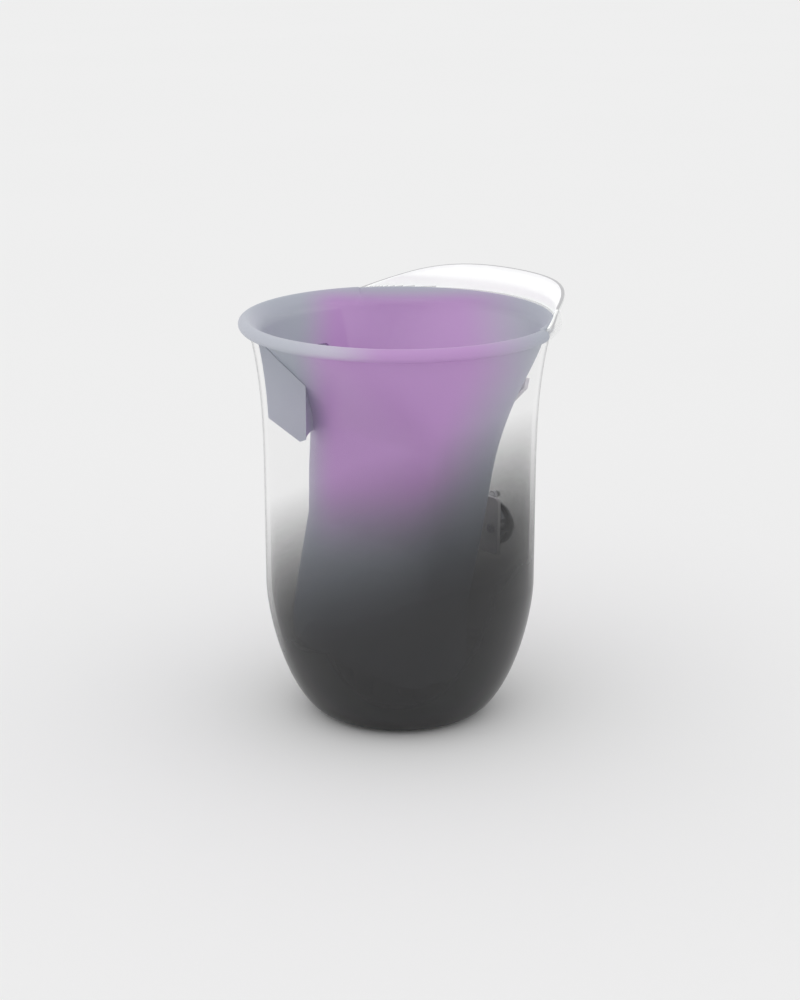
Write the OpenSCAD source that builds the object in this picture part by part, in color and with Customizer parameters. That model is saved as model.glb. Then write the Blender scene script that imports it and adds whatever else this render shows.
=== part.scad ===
// Ultraviolet sanitizer cup for a phone. A see-through tulip vessel holds a flared
// inner cup, in which the phone stands leaning back. A lamp pod sits under the lip,
// and a wireless charging coil sits behind the pocket. Lengths are in millimetres.
// Z is up, Y points to the back, and the origin is the middle of the resting plane.

/* [Vessel] */
// Radius of the vessel's flat underside
base_r = 34; // [33:0.5:37]
// Radius of the vessel's body at its belly
body_r = 56; // [55:0.5:60]
// Height of the belly, where the wall turns upright
belly_z = 56; // [52:1:62]
// Roundness of the bowl below the belly
bowl_power = 1.6; // [1.5:0.05:1.9]
// Height at which the neck starts to open
neck_z = 98; // [90:1:106]
// How far the neck opens out at the rim
neck_out = 5.2; // [4:0.1:6.5]
// Height of the vessel's rim, under the rolled lip
rim_z = 163.4; // [158:0.2:168]
// Thickness of the vessel's wall
shell_wall = 2.2; // [1.8:0.1:2.5]
// Thickness of the vessel's floor
floor_t = 3.8; // [3.4:0.1:4.4]

/* [Crest] */
// Height of the crest above the lip's crown
crest_h = 10.5; // [6:0.5:12]
// Half of the angle that the crest spans round the back
crest_half = 66; // [50:1:70]
// Power of the crest's top curve: higher is flatter
crest_power = 4; // [3:0.5:6]
// How far the crest's top edge flares out past its notch
crest_flare = 5.2; // [2:0.2:6]

/* [Inner cup] */
// Half of the pocket's width
pocket_x = 41.5; // [40:0.5:42.5]
// How far the pocket's back wall stands behind the axis at its foot
pocket_back = 5.8; // [4:0.2:7]
// How far the pocket's front wall stands before the axis in its upright part
pocket_front = 20.8; // [19:0.2:22]
// Lean of the pocket's back wall, in degrees
lean = 14.5; // [12:0.5:15.5]
// Slope of the pocket's front wall near its foot, in degrees
front_lean = 12.4; // [9:0.2:13]
// Height of the pocket's underside
pocket_z = 22; // [21:0.5:24]
// Thickness of the inner cup's wall
liner_wall = 2; // [1.6:0.1:2.2]
// Radius by which the lip rolls out past the vessel's neck
lip_over = 4.1; // [3.4:0.1:5]
// Height of the lip's crown above the vessel's rim
lip_rise = 4.6; // [4:0.1:5.4]

/* [Lamp] */
// Angle of the lamp pod's middle, from the X axis
pod_angle = 200; // [195:1:205]
// Half of the angle that the lamp pod spans
pod_half = 34; // [30:1:36]
// Height of the lamp window's middle
lamp_z = 137.5; // [136:0.5:139]
// Width of the lamp window
window_w = 12; // [10:0.5:13]
// Height of the lamp window
window_h = 22; // [20:0.5:23]
// How many ultraviolet emitters stand in the lamp's row
uv_led_count = 4; // [2:1:4]

/* [Button] */
// Height of the button's middle above the belly
button_rise = 13; // [12:0.5:18]
// Radius of the button's cap
cap_r = 5.6; // [5:0.1:6]
// How far the button travels when pressed
button_travel = 0.8; // [0.4:0.1:1]
// How far the button's cap stands out of its bezel
cap_proud = 0.6; // [0.3:0.1:1.2]

/* [Electronics] */
// Radius of the wireless charging coil
coil_r = 21; // [18:0.5:22]
// Thickness of the circuit boards
board_t = 1.6; // [1:0.1:1.8]
// Thickness of the steel ballast plate
ballast_t = 3; // [2:0.5:3.5]

/* [Hidden] */
$fn = 96;

// Clearances: a moulded fit, a screw in its hole, a soft piece on its seat, a sliding fit
fit = 0.3;
screw_fit = 0.05;
seat = 0.1;
slide = 0.1;
over = 1;      // how far a cutting shape reaches past what it cuts
through = 10;  // half the length of a cut that goes right through a wall
tiny = 0.01;

// Colours
smoke = "#4a4b50";
clear = "#e6e8ec";
satin = "#a7aab6";
plastic_black = "#2b2c30";
plastic_grey = "#7d8088";
steel = "#b9bcc2";
copper = "#b9713b";
board_green = "#1f5a3c";
rubber = "#33343a";

// ---- The vessel's curve -------------------------------------------------------------
foot_h = 1.2;
floor_z = foot_h + floor_t;
bowl_h = belly_z - foot_h;

// Outer radius of the vessel at a height: a superellipse bowl under an opening neck
function bowl_r(z) =
    base_r + (body_r - base_r)
    * pow(1 - pow(max(0, belly_z - z) / bowl_h, bowl_power), 1 / bowl_power);
function neck_r(z) = body_r + neck_out * pow(max(0, z - neck_z) / (rim_z - neck_z), 3);
function shell_r(z) = z < belly_z ? bowl_r(z) : neck_r(z);
function shell_slope(z) = (shell_r(z + 0.05) - shell_r(z - 0.05)) / 0.1;

// Radius of the vessel's inner face, one wall in along the normal
function shell_in(z) = shell_r(z) - shell_wall * norm([1, shell_slope(z)]);

bowl_steps = 18;
neck_steps = 14;
function bowl_point(u) = [
    base_r + (body_r - base_r) * pow(sin(u), 2 / bowl_power),
    belly_z - bowl_h * pow(cos(u), 2 / bowl_power)
];
function eased(k, steps) = 1 - cos(90 * k / steps);
shell_rim_r = shell_r(rim_z);
shell_rim_in = shell_in(rim_z);

// ---- The rolled lip and the crest ----------------------------------------------------
crown_z = rim_z + lip_rise;
lip_r = shell_rim_r + lip_over;
lip_mid_z = rim_z + 2.1;       // height at which the lip is widest
lip_low_z = rim_z - 0.9;       // height of the lip's lower edge
crown_r = lip_r - 2.7;         // radius of the lip's crown
slot_top_z = rim_z + 1.2;      // roof of the slot that takes the vessel's rim
slot_in_r = shell_rim_in - 0.4;
slot_out_r = shell_rim_r + 0.3;
crest_in_r = crown_r + 0.1;    // inner face of the crest, where it passes the lip
crest_trim_r = crest_in_r - fit;
notch_z = crown_z + 3.5;       // narrowest place of the crest, just above the lip
notch_r = lip_r - 1.1;
crest_wall = 1.9;
crest_top_z = crown_z + crest_h;
crest_x = lip_r * sin(crest_half);
crest_root_r = (shell_rim_r + shell_rim_in) / 2;

// Outer radius of the crest above its notch
function crest_r(z) = notch_r + crest_flare * pow(max(0, z - notch_z) / 7, 1.3);

// ---- The inner cup -------------------------------------------------------------------
// The cup's outer skin is a row of level superellipse rings. Low down they are nearly
// rectangles that lean back, and they open and turn into circles towards the lip.
cup_low_z = 54;      // where the back wall starts to lean
front_low_z = 37;    // where the front wall starts to lean
front_high_z = 80;   // where the front wall turns upright
flare_z = 98;        // where the cup starts to open at the back and the sides
front_flare_z = 120; // where it starts to open at the front
flare_top_z = rim_z - 1.4;
flare_top_r = slot_in_r;
flare_power = 2.9;
front_flare_power = 1.6;
square_power = 6;    // superellipse power of the pocket, where 2 is a circle
corner_r = 8;        // rounding of the pocket's underside
pocket_floor_t = 2.4;
pocket_floor_z = pocket_z + pocket_floor_t;

function part_way(z, low, high) = min(1, max(0, z - low) / (high - low));
function mix(a, b, t) = a + (b - a) * t;
function opening(z) = pow(part_way(z, flare_z, flare_top_z), flare_power);
function front_opening(z) = pow(part_way(z, front_flare_z, flare_top_z), front_flare_power);
function lean_y(z) = pocket_back + tan(lean) * max(0, z - cup_low_z);
function front_y(z) =
    -pocket_front - tan(front_lean) * max(0, front_high_z - max(z, front_low_z));
function cup_x(z) = mix(pocket_x, flare_top_r, opening(z));
function cup_back(z) = mix(lean_y(z), flare_top_r, opening(z));
function cup_front(z) = mix(front_y(z), -flare_top_r, front_opening(z));
function cup_power(z) = mix(square_power, 2, pow(opening(z), 0.4));

// How much wall the cup needs level, to keep its thickness where the skin slopes
function cup_slope(z) = cup_x(z) - cup_x(z - 1);
function round_in(z, low, r) =
    z < low + r ? r - sqrt(max(0, r * r - pow(low + r - z, 2))) : 0;
function signed_pow(v, p) = sign(v) * pow(abs(v), p);

// A point of the skin at height z and ring angle a, drawn in by an inset
function skin(z, a, inset) =
    let (
        half_y = (cup_back(z) - cup_front(z)) / 2 - inset,
        half_x = cup_x(z) - inset,
        mid_y = (cup_back(z) + cup_front(z)) / 2,
        p = 2 / cup_power(z)
    )
    [half_x * signed_pow(cos(a), p), mid_y + half_y * signed_pow(sin(a), p), z];

// Ring angles: evenly round the crest's arc, one narrow step, and evenly round the rest
crest_steps = 22;
rest_steps = 36;
crest_edge = crest_half + 0.35;
seam_step = 0.5;
ring_angles = concat(
    [for (k = [0:crest_steps]) 90 - crest_edge + 2 * crest_edge * k / crest_steps],
    [for (k = [0:rest_steps])
        90 + crest_edge + seam_step
        + (360 - 2 * (crest_edge + seam_step)) * k / rest_steps]
);
ring_count = len(ring_angles);
function in_crest(k) = k <= crest_steps;

// Heights of the rings on the cup's outer and inner skins
outer_levels = concat(
    [for (k = [0:4]) pocket_z + corner_r * eased(k, 4)],
    [front_low_z, 46, cup_low_z, 66, front_high_z, flare_z],
    [for (k = [1:11]) mix(flare_z, flare_top_z, pow(k / 11, 0.75))]
);
inner_levels = concat(
    [for (k = [11:-1:1]) mix(flare_z, flare_top_z, pow(k / 11, 0.75))],
    [flare_z, front_high_z, 66, cup_low_z, 46, front_low_z],
    [for (k = [4:-1:0]) pocket_floor_z + (corner_r - liner_wall) * eased(k, 4)]
);
function outer_inset(z) = round_in(z, pocket_z, corner_r);
function inner_inset(z) =
    liner_wall * norm([1, cup_slope(z)])
    + round_in(z, pocket_floor_z, corner_r - liner_wall);

// The lip's outline as radius and height, for its plain arc and for the crest's arc,
// where it stops at the crest's inner face and has no outer skirt
lip_steps = 5;
crown_round = 1.5;
flare_in_r = flare_top_r - inner_inset(flare_top_z);
lip_bend_r = flare_in_r + cup_slope(flare_top_z) * (crown_z - flare_top_z);
lip_plain = concat(
    [[flare_top_r, slot_top_z], [slot_out_r, slot_top_z]],
    [for (k = [0:lip_steps]) [
        slot_out_r + (lip_r - slot_out_r) * sin(90 * k / lip_steps),
        lip_mid_z - (lip_mid_z - lip_low_z) * cos(90 * k / lip_steps)
    ]],
    [for (k = [1:lip_steps]) [
        crown_r + (lip_r - crown_r) * cos(90 * k / lip_steps),
        lip_mid_z + (crown_z - lip_mid_z) * sin(90 * k / lip_steps)
    ]],
    lip_inside(crown_r)
);
lip_crest = concat(
    [[flare_top_r, slot_top_z], [slot_out_r, slot_top_z]],
    [for (k = [0:lip_steps]) [
        mix(slot_out_r, crest_trim_r, (k + 1) / (lip_steps + 1)), slot_top_z
    ]],
    [for (k = [1:lip_steps]) [
        crest_trim_r - crown_round + crown_round * cos(90 * (k - 1) / (lip_steps - 1)),
        crown_z - crown_round + crown_round * sin(90 * (k - 1) / (lip_steps - 1))
    ]],
    lip_inside(crest_trim_r - crown_round)
);
// From the crown at radius r, a smooth bend down into the cup's flare
function lip_inside(r) = [
    for (k = [1:lip_steps - 1])
    let (t = k / lip_steps)
    [
        r * pow(1 - t, 2) + min(r - 1, lip_bend_r) * 2 * t * (1 - t) + flare_in_r * t * t,
        crown_z * (1 - t * t) + flare_top_z * t * t
    ]
];

module inner_cup() {
    outer_rings = [for (z = outer_levels) [for (a = ring_angles) skin(z, a, outer_inset(z))]];
    lip_rings = [
        for (j = [0:len(lip_plain) - 1])
        [
            for (k = [0:ring_count - 1])
            let (p = in_crest(k) ? lip_crest[j] : lip_plain[j], a = ring_angles[k])
            [p[0] * cos(a), p[0] * sin(a), p[1]]
        ]
    ];
    inner_rings = [for (z = inner_levels) [for (a = ring_angles) skin(z, a, inner_inset(z))]];
    color(satin) difference() {
        closed_rings(concat(outer_rings, lip_rings, inner_rings));
        lamp_frame() lamp_plate(-through, window_w + 2 * window_gap, window_h + 2 * window_gap,
            2 * through, window_corner + window_gap);
    }
}

// A closed solid through rings of points, each ring joined to the next one, with the
// first and the last ring capped. Rings run anticlockwise seen from above.
module closed_rings(rings) {
    n = len(rings[0]);
    m = len(rings);
    sides = [
        for (j = [0:m - 2], k = [0:n - 1])
        let (a = j * n + k, b = j * n + (k + 1) % n, c = a + n, d = b + n)
        each [[a, c, b], [b, c, d]]
    ];
    polyhedron(
        points = [for (ring = rings) each ring],
        faces = concat(
            [[for (k = [0:n - 1]) k]],
            sides,
            [[for (k = [n - 1:-1:0]) (m - 1) * n + k]]
        ),
        convexity = 12
    );
}

// ---- Outer shell ----------------------------------------------------------------------
module vessel_section(inner) {
    bowl = [for (k = [0:bowl_steps]) bowl_point(90 * k / bowl_steps)];
    neck = [for (k = [0:neck_steps]) let (z = mix(neck_z, rim_z, k / neck_steps)) [neck_r(z), z]];
    neck_in = [for (k = [neck_steps:-1:0])
        let (z = mix(neck_z, rim_z, k / neck_steps)) [shell_in(z), z]];
    bowl_in = [for (k = [bowl_steps:-1:0])
        let (z = mix(floor_z, belly_z, eased(k, bowl_steps))) [shell_in(z), z]];
    polygon(inner
        ? concat([[0, foot_h]], bowl, neck, neck_in, bowl_in, [[0, floor_z]])
        : concat([[0, foot_h]], bowl, neck, [[0, rim_z]]));
}

// The crest's own section: the lip's bead, the notch above it and the flared top
module crest_section() {
    bead = [for (k = [0:lip_steps]) [
        shell_rim_r + (lip_r - shell_rim_r) * sin(90 * k / lip_steps),
        lip_mid_z - (lip_mid_z - lip_low_z) * cos(90 * k / lip_steps)
    ]];
    bead_in = 0.2;
    top = crest_top_z + over;
    flare = [for (k = [0:6]) mix(notch_z, top, k / 6)];
    polygon(concat(
        [[crest_root_r, lip_low_z]],
        bead,
        [[lip_r - bead_in, crown_z]],
        [for (z = flare) [crest_r(z), z]],
        [for (k = [6:-1:1]) [max(crest_in_r, crest_r(flare[k]) - crest_wall), flare[k]]],
        [[crest_in_r, notch_z - 1], [crest_in_r, rim_z], [crest_root_r, rim_z]]
    ));
}

// A wedge of the given half angle round the back, as tall as the part
module back_wedge(half, r) {
    steps = 12;
    linear_extrude(crest_top_z + 2 * over)
        polygon(concat([[0, 0]], [for (k = [0:steps])
            let (a = 90 - half + 2 * half * k / steps) [r * cos(a), r * sin(a)]]));
}

module crest() {
    steps = 28;
    side_x = crest_x + 2;
    side_z = crown_z - 0.6;
    intersection() {
        rotate_extrude() crest_section();
        back_wedge(crest_half, 2 * lip_r);
        rotate([90, 0, 0])
            linear_extrude(4 * lip_r, center = true)
                polygon(concat(
                    [[side_x, 0], [side_x, side_z]],
                    [for (k = [steps:-1:-steps])
                        let (x = crest_x * k / steps)
                        [x, crown_z + crest_h * (1 - pow(abs(k / steps), crest_power))]],
                    [[-side_x, side_z], [-side_x, 0]]
                ));
    }
}

cover_flange_t = 1.8;
cover_flange_r = base_r - 3;
cover_hub_r = 24.2;

module outer_shell() {
    color(smoke) difference() {
        union() {
            rotate_extrude() vessel_section(true);
            crest();
            switch_bosses();
        }
        // The base's opening and the rebate for its cover
        translate([0, 0, foot_h - over]) cylinder(r = cover_hub_r + fit, h = floor_t + 2 * over);
        translate([0, 0, foot_h - over]) cylinder(r = cover_flange_r + fit, h = cover_flange_t + over);
        // The socket's opening, the button's bore with its flat, and the light pipe's hole
        translate([0, shell_r(port_z), port_z]) rotate([90, 0, 0])
            linear_extrude(bezel_depth * 2, center = true)
                rounded(port_bezel_w + 2 * slide, port_bezel_h + 2 * slide, port_corner + slide);
        at_button(flat_y - through / 2) cylinder(r = bezel_r + 2 * slide, h = through);
        at_button(flat_y) cylinder(r = bezel_flange_r + fit, h = through);
        at_button(flat_y - through / 2, pipe_rise) cylinder(r = pipe_r + slide, h = through);
        for (x = [-boss_x, boss_x])
            translate([x, 0, 0]) at_button(board_front_y - over, boss_rise)
                cylinder(r = small_screw_r + screw_fit, h = boss_hole + over);
    }
}

// A rectangle with round corners, centred on the origin
module rounded(w, h, r) {
    corner_x = w / 2 - r;
    corner_y = h / 2 - r;
    square([w, 2 * corner_y], center = true);
    square([2 * corner_x, h], center = true);
    for (x = [-corner_x, corner_x], y = [-corner_y, corner_y])
        translate([x, y]) circle(r);
}

module block(size, r) {
    linear_extrude(size[2]) rounded(size[0], size[1], r);
}

module rim_seal() {
    color(rubber) rotate_extrude()
        translate([shell_rim_in + fit, rim_z])
            square([shell_rim_r - shell_rim_in - 2 * fit, slot_top_z - rim_z]);
}

// ---- Base -----------------------------------------------------------------------------
foot_in_r = 26;
foot_out_r = 29.6;
foot_sunk = 0.8;
cover_screw_r = 1.25;
cover_head_r = 2.3;
cover_head_h = 1.4;
cover_screw_at = 13;      // radius of the cover's screws
cover_boss_r = 3.2;
cover_boss_h = 5;
cup_screw_r = 1.5;
cup_head_r = 2.6;
cup_head_h = 1.8;
cup_post_r = 4;
chassis_t = 2;
chassis_r = shell_in(floor_z) - 1;
chassis_top_z = floor_z + chassis_t;
board_gap = 3;
board_z = chassis_top_z + ballast_t + board_gap;
board_top_z = board_z + board_t;
board_post_r = 2.8;
small_screw_r = 1;
small_head_r = 1.9;
small_head_h = 1.2;
board_holes = [[24, 12], [-24, 12], [0, 24]];
post_x = 20;
post_side_y = -5;
post_front_y = -20;
cup_posts = [[post_x, post_side_y], [-post_x, post_side_y], [0, post_front_y]];
base_top_z = pocket_z - 2;          // underside of the pocket's base plate
base_foot_z = pocket_z - 8;         // foot of its bosses, on the chassis posts
base_plate_w = 2 * (post_x + cup_post_r + 3);
base_plate_d = cup_post_r - post_front_y;
base_corner = 6;
cup_counter = cup_head_h + 0.4;

module cover_places() {
    for (a = [90, 210, 330])
        rotate(a) translate([cover_screw_at, 0, 0]) children();
}

module places(points) {
    for (p = points) translate([p[0], p[1], 0]) children();
}

module bottom_cover() {
    color(plastic_black) difference() {
        union() {
            translate([0, 0, foot_h]) cylinder(r = cover_flange_r, h = cover_flange_t);
            translate([0, 0, foot_h]) cylinder(r = cover_hub_r, h = floor_t);
        }
        translate([0, 0, foot_h - over]) rotate_extrude()
            translate([foot_in_r - slide, 0])
                square([foot_out_r - foot_in_r + 2 * slide, foot_sunk + over]);
        cover_places() {
            translate([0, 0, foot_h - over]) cylinder(r = cover_screw_r + slide, h = 2 * floor_t);
            translate([0, 0, foot_h - over])
                cylinder(r = cover_head_r + slide, h = cover_head_h + slide + over);
        }
    }
}

module foot_ring() {
    color(rubber) rotate_extrude()
        translate([foot_in_r, 0]) square([foot_out_r - foot_in_r, foot_h + foot_sunk]);
}

// A cross-recessed pan-head screw with its head's top at z = 0, pointing up
module screw(head_r, head_h, shank_r, length) {
    recess = 0.6 * head_h;
    difference() {
        union() {
            cylinder(r = head_r, h = head_h);
            translate([0, 0, head_h - tiny]) cylinder(r = shank_r, h = length - head_h);
        }
        for (a = [0, 90])
            rotate(a) translate([-0.6 * head_r, -0.15 * head_r, -over])
                cube([1.2 * head_r, 0.3 * head_r, recess + over]);
    }
}

module cover_screws() {
    color(steel) cover_places() translate([0, 0, foot_h + slide])
        screw(cover_head_r, cover_head_h, cover_screw_r, floor_t + cover_boss_h - fit);
}

module chassis() {
    color(plastic_grey) difference() {
        union() {
            translate([0, 0, floor_z]) cylinder(r = chassis_r, h = chassis_t);
            places(cup_posts) translate([0, 0, floor_z])
                cylinder(r = cup_post_r, h = base_foot_z - floor_z);
            places(board_holes) translate([0, 0, floor_z])
                cylinder(r = board_post_r, h = board_z - floor_z);
            cover_places() translate([0, 0, floor_z])
                cylinder(r = cover_boss_r, h = chassis_t + cover_boss_h);
        }
        places(cup_posts) translate([0, 0, floor_z - over]) {
            cylinder(r = cup_screw_r + slide, h = base_foot_z);
            cylinder(r = cup_head_r + slide, h = cup_counter + over);
        }
        places(board_holes) translate([0, 0, chassis_top_z])
            cylinder(r = small_screw_r + screw_fit, h = board_z);
        cover_places() translate([0, 0, floor_z - over])
            cylinder(r = cover_screw_r + screw_fit, h = cover_boss_h + over);
    }
}

module ballast_plate() {
    color(steel) difference() {
        translate([0, 0, chassis_top_z]) cylinder(r = chassis_r - fit, h = ballast_t);
        places(cup_posts) translate([0, 0, floor_z])
            cylinder(r = cup_post_r + fit, h = board_z);
        places(board_holes) translate([0, 0, floor_z])
            cylinder(r = board_post_r + fit, h = board_z);
        cover_places() translate([0, 0, floor_z])
            cylinder(r = cover_boss_r + fit, h = board_z);
    }
}

// The plate bonded under the pocket, which the cup's screws pull down onto the chassis
module pocket_base() {
    color(plastic_grey) difference() {
        union() {
            translate([0, -base_plate_d / 2, base_top_z])
                block([base_plate_w, base_plate_d, pocket_z - base_top_z], base_corner);
            places(cup_posts) translate([0, 0, base_foot_z])
                cylinder(r = cup_post_r, h = pocket_z - base_foot_z);
        }
        places(cup_posts) translate([0, 0, base_foot_z - over])
            cylinder(r = cup_screw_r + screw_fit, h = pocket_z - base_foot_z);
    }
}

module cup_screws() {
    color(steel) places(cup_posts) translate([0, 0, floor_z + cup_counter - cup_head_h])
        screw(cup_head_r, cup_head_h, cup_screw_r, base_top_z - floor_z - 1);
}

// ---- Main board -----------------------------------------------------------------------
board_r = shell_in(board_z) - 2.5;
board_front = 4;         // the board's straight front edge
socket_w = 8.94;
socket_h = 3.26;
socket_l = 7.35;
socket_wall = 0.3;
socket_corner = 1.6;
socket_corner_in = 1.27;
port_z = board_top_z + socket_h / 2;
mouth_y = shell_r(board_top_z) - 0.4;
tab_w = 10.4;
tab_y = mouth_y - 3.7;
plug_w = 12.9;           // recess for a plug's overmould
plug_h = 7;
plug_corner = 2;
port_corner = 3;
port_bezel_w = plug_w + 2.4;
port_bezel_h = plug_h + 2.4;
bezel_depth = 9;
port_wall = 1.2;          // wall round the socket, at the bottom of the recess
lamp_plug_at = [-23, 18.5];
coil_plug_at = [23, 18.5];
switch_plug_at = [2, 31];
plug_size = [7, 4.6, 3.4];
plug_top_z = board_top_z + plug_size[2];

module main_board() {
    color(board_green) translate([0, 0, board_z]) difference() {
        linear_extrude(board_t) union() {
            intersection() {
                circle(board_r);
                translate([-board_r, board_front]) square(2 * board_r);
            }
            translate([-tab_w / 2, board_r / 2]) square([tab_w, tab_y - board_r / 2]);
        }
        places(board_holes) translate([0, 0, -over])
            cylinder(r = small_screw_r + slide, h = board_t + 2 * over);
    }
}

module board_screws() {
    color(steel) places(board_holes)
        translate([0, 0, board_top_z + small_head_h]) mirror([0, 0, 1])
            screw(small_head_r, small_head_h, small_screw_r, small_head_h + board_t + 4);
}

// The processor, the charging driver and the lamp driver
module control_chips() {
    chip_t = 1;
    places_and_widths = [[7, 11, 7], [-8, 12, 5], [14, 20, 4]];
    color(plastic_black) for (c = places_and_widths)
        translate([c[0], c[1], board_top_z]) linear_extrude(chip_t) square(c[2], center = true);
}

module power_coil() {
    width = 10;
    height = 4;
    corner = 1.5;
    color(plastic_black) translate([-12, 26, board_top_z]) block([width, width, height], corner);
}

module capacitors() {
    can_r = 3.15;
    can_h = 7.7;
    crimp_z = 1.4;
    crimp_h = 0.6;
    crimp_in = 0.25;
    color(steel) for (p = [[13, 30], [21, 26.5]])
        translate([p[0], p[1], board_top_z]) difference() {
            cylinder(r = can_r, h = can_h);
            translate([0, 0, crimp_z]) rotate_extrude()
                translate([can_r - crimp_in, 0]) square([over, crimp_h]);
        }
}

module board_connectors() {
    color("ivory") for (p = [lamp_plug_at, coil_plug_at, switch_plug_at])
        translate([p[0], p[1], board_top_z])
            translate([-plug_size[0] / 2, -plug_size[1] / 2, 0]) cube(plug_size);
}

// A section drawn in X and Z, extruded along Y from y to y + length
module along_y(y, z, length) {
    translate([0, y + length, z]) rotate([90, 0, 0]) linear_extrude(length) children();
}

module usb_socket() {
    back = mouth_y - socket_l;
    back_wall = 1;
    tongue = [6.7, 0.7];
    color(steel) union() {
        difference() {
            along_y(back, port_z, socket_l) rounded(socket_w, socket_h, socket_corner);
            along_y(back + back_wall, port_z, socket_l)
                rounded(socket_w - 2 * socket_wall, socket_h - 2 * socket_wall, socket_corner_in);
        }
        along_y(back + back_wall / 2, port_z, socket_l - 1.2 * back_wall)
            square(tongue, center = true);
    }
}

module usb_bezel() {
    back = mouth_y - 4.2;
    wall_y = mouth_y - 1.4;
    color(plastic_black) intersection() {
        difference() {
            along_y(back, port_z, bezel_depth) rounded(port_bezel_w, port_bezel_h, port_corner);
            along_y(back - over, port_z, wall_y - back + over) rounded(plug_w, plug_h, plug_corner);
            along_y(wall_y + port_wall, port_z, bezel_depth) rounded(plug_w, plug_h, plug_corner);
            along_y(back, port_z, bezel_depth)
                rounded(socket_w + 2 * slide, socket_h + 2 * slide, socket_corner + slide);
        }
        rotate_extrude() vessel_section(false);
    }
}

// ---- Button and switch ------------------------------------------------------------------
button_z = belly_z + button_rise;
flat_y = body_r - 0.8;           // floor of the flat that seats the bezel's flange
bezel_flange_t = 1.4;
bezel_r = cap_r + 2;
bezel_flange_r = bezel_r + 1.6;
step_y = flat_y - 1.9;           // the bezel's step, which holds the cap's flange
cap_flange_t = 1;
cap_flange_r = cap_r + 0.7;
cap_back_y = step_y - seat - cap_flange_t;
bezel_back_y = cap_back_y - button_travel - 0.6;
plunger_r = 1.5;
plunger_l = 3.6;
stem_top_y = cap_back_y - plunger_l;
housing_top_y = stem_top_y - button_travel - 1.2;
housing_h = 3.5;
housing_w = 6;
stem_r = 1.75;
stem_in = 0.6;                   // how deep the stem sits in its housing at rest
board_front_y = housing_top_y - housing_h;
board_back_y = board_front_y - board_t;
switch_board_size = [30, 25];
boss_x = 11.5;
boss_rise = 3;
boss_r = 2.6;
boss_hole = 6;
pipe_rise = 13;
pipe_r = 1.2;
pipe_collar_r = 2;
led_h = 0.8;

// Things that lie along the button's axis, from y outwards, raised above its centre
module at_button(y, rise = 0) {
    translate([0, y, button_z + rise]) rotate([-90, 0, 0]) children();
}

module switch_bosses() {
    for (x = [-boss_x, boss_x])
        translate([x, 0, 0]) at_button(board_front_y, boss_rise)
            cylinder(r = boss_r, h = shell_in(button_z) - board_front_y);
}

module button_bezel() {
    color(plastic_grey) difference() {
        union() {
            at_button(bezel_back_y) cylinder(r = bezel_r, h = flat_y - bezel_back_y);
            at_button(flat_y) cylinder(r = bezel_flange_r, h = bezel_flange_t);
        }
        at_button(bezel_back_y - over) cylinder(r = cap_r + slide, h = through);
        at_button(bezel_back_y - over)
            cylinder(r = cap_flange_r + slide, h = step_y - bezel_back_y + over);
    }
}

module button_cap() {
    front = flat_y + bezel_flange_t + cap_proud;
    dish_r = 40;
    dish_deep = 0.3;
    color(plastic_black) difference() {
        union() {
            at_button(cap_back_y) cylinder(r = cap_r, h = front - cap_back_y);
            at_button(cap_back_y) cylinder(r = cap_flange_r, h = cap_flange_t);
        }
        translate([0, front + dish_r - dish_deep, button_z]) sphere(dish_r);
    }
}

module switch_plunger() {
    color("ivory") at_button(stem_top_y) cylinder(r = plunger_r, h = plunger_l);
}

module switch_stem() {
    color(plastic_black) at_button(housing_top_y - stem_in)
        cylinder(r = stem_r, h = stem_top_y - housing_top_y + stem_in);
}

module switch_housing() {
    well = stem_in + button_travel + 0.3;
    color(plastic_black) difference() {
        at_button(board_front_y) translate([-housing_w / 2, -housing_w / 2, 0])
            cube([housing_w, housing_w, housing_h]);
        at_button(housing_top_y - well) cylinder(r = stem_r + slide, h = well + over);
    }
}

module switch_board() {
    color(board_green) difference() {
        at_button(board_back_y, boss_rise + 1) block(concat(switch_board_size, board_t), 2);
        for (x = [-boss_x, boss_x])
            translate([x, 0, 0]) at_button(board_back_y - over, boss_rise)
                cylinder(r = small_screw_r + slide, h = board_t + 2 * over);
    }
}

module switch_board_screws() {
    color(steel) for (x = [-boss_x, boss_x])
        translate([x, 0, 0]) at_button(board_back_y - small_head_h, boss_rise)
            screw(small_head_r, small_head_h, small_screw_r, small_head_h + board_t + 5);
}

module status_led() {
    led = [3, 2, led_h];
    color("ivory") at_button(board_front_y, pipe_rise) translate([-led[0] / 2, -led[1] / 2, 0])
        cube(led);
}

module light_pipe() {
    back = board_front_y + led_h + seat;
    collar_y = shell_in(button_z + pipe_rise) - fit;
    collar_t = 1.4;
    color(clear) union() {
        at_button(back, pipe_rise)
            cylinder(r = pipe_r, h = shell_r(button_z + pipe_rise) + seat - back);
        at_button(collar_y - collar_t, pipe_rise) cylinder(r = pipe_collar_r, h = collar_t);
    }
}

// ---- Lamp -----------------------------------------------------------------------------
// The lamp's frame sits on the cup's outer skin: X points into the cup along the
// skin's normal, Y runs round the cup and Z runs up the wall.
lamp_angle = pod_angle - 10;
pod_gap = 0.4;
pod_wall = 1.1;
pod_in_r = 38.5;
pod_low_r = 41.1;
pod_low_z = 115.8;
pod_slope = 0.815;                // rise of the pod's underside
pod_top_z = rim_z - 3.4;
window_t = 1.6;
window_back = -1.25;
window_gap = 0.2;
window_corner = 1.5;
frame_edge = 1.5;                 // how far the gasket and the reflector lap past the window
reflector_edge = 2.5;
gasket_t = 0.8;
reflector_t = 1.2;
lamp_board_t = 1;
spreader_t = 0.8;
lamp_drop = 2;
reflector_back = window_back - gasket_t - reflector_t;
lamp_board_back = reflector_back - lamp_board_t;
spreader_back = lamp_board_back - spreader_t;
lamp_board_w = 13;
lamp_board_h = window_h - 4;
lamp_screw_r = 0.8;
lamp_screw_y = 4.7;
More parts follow.
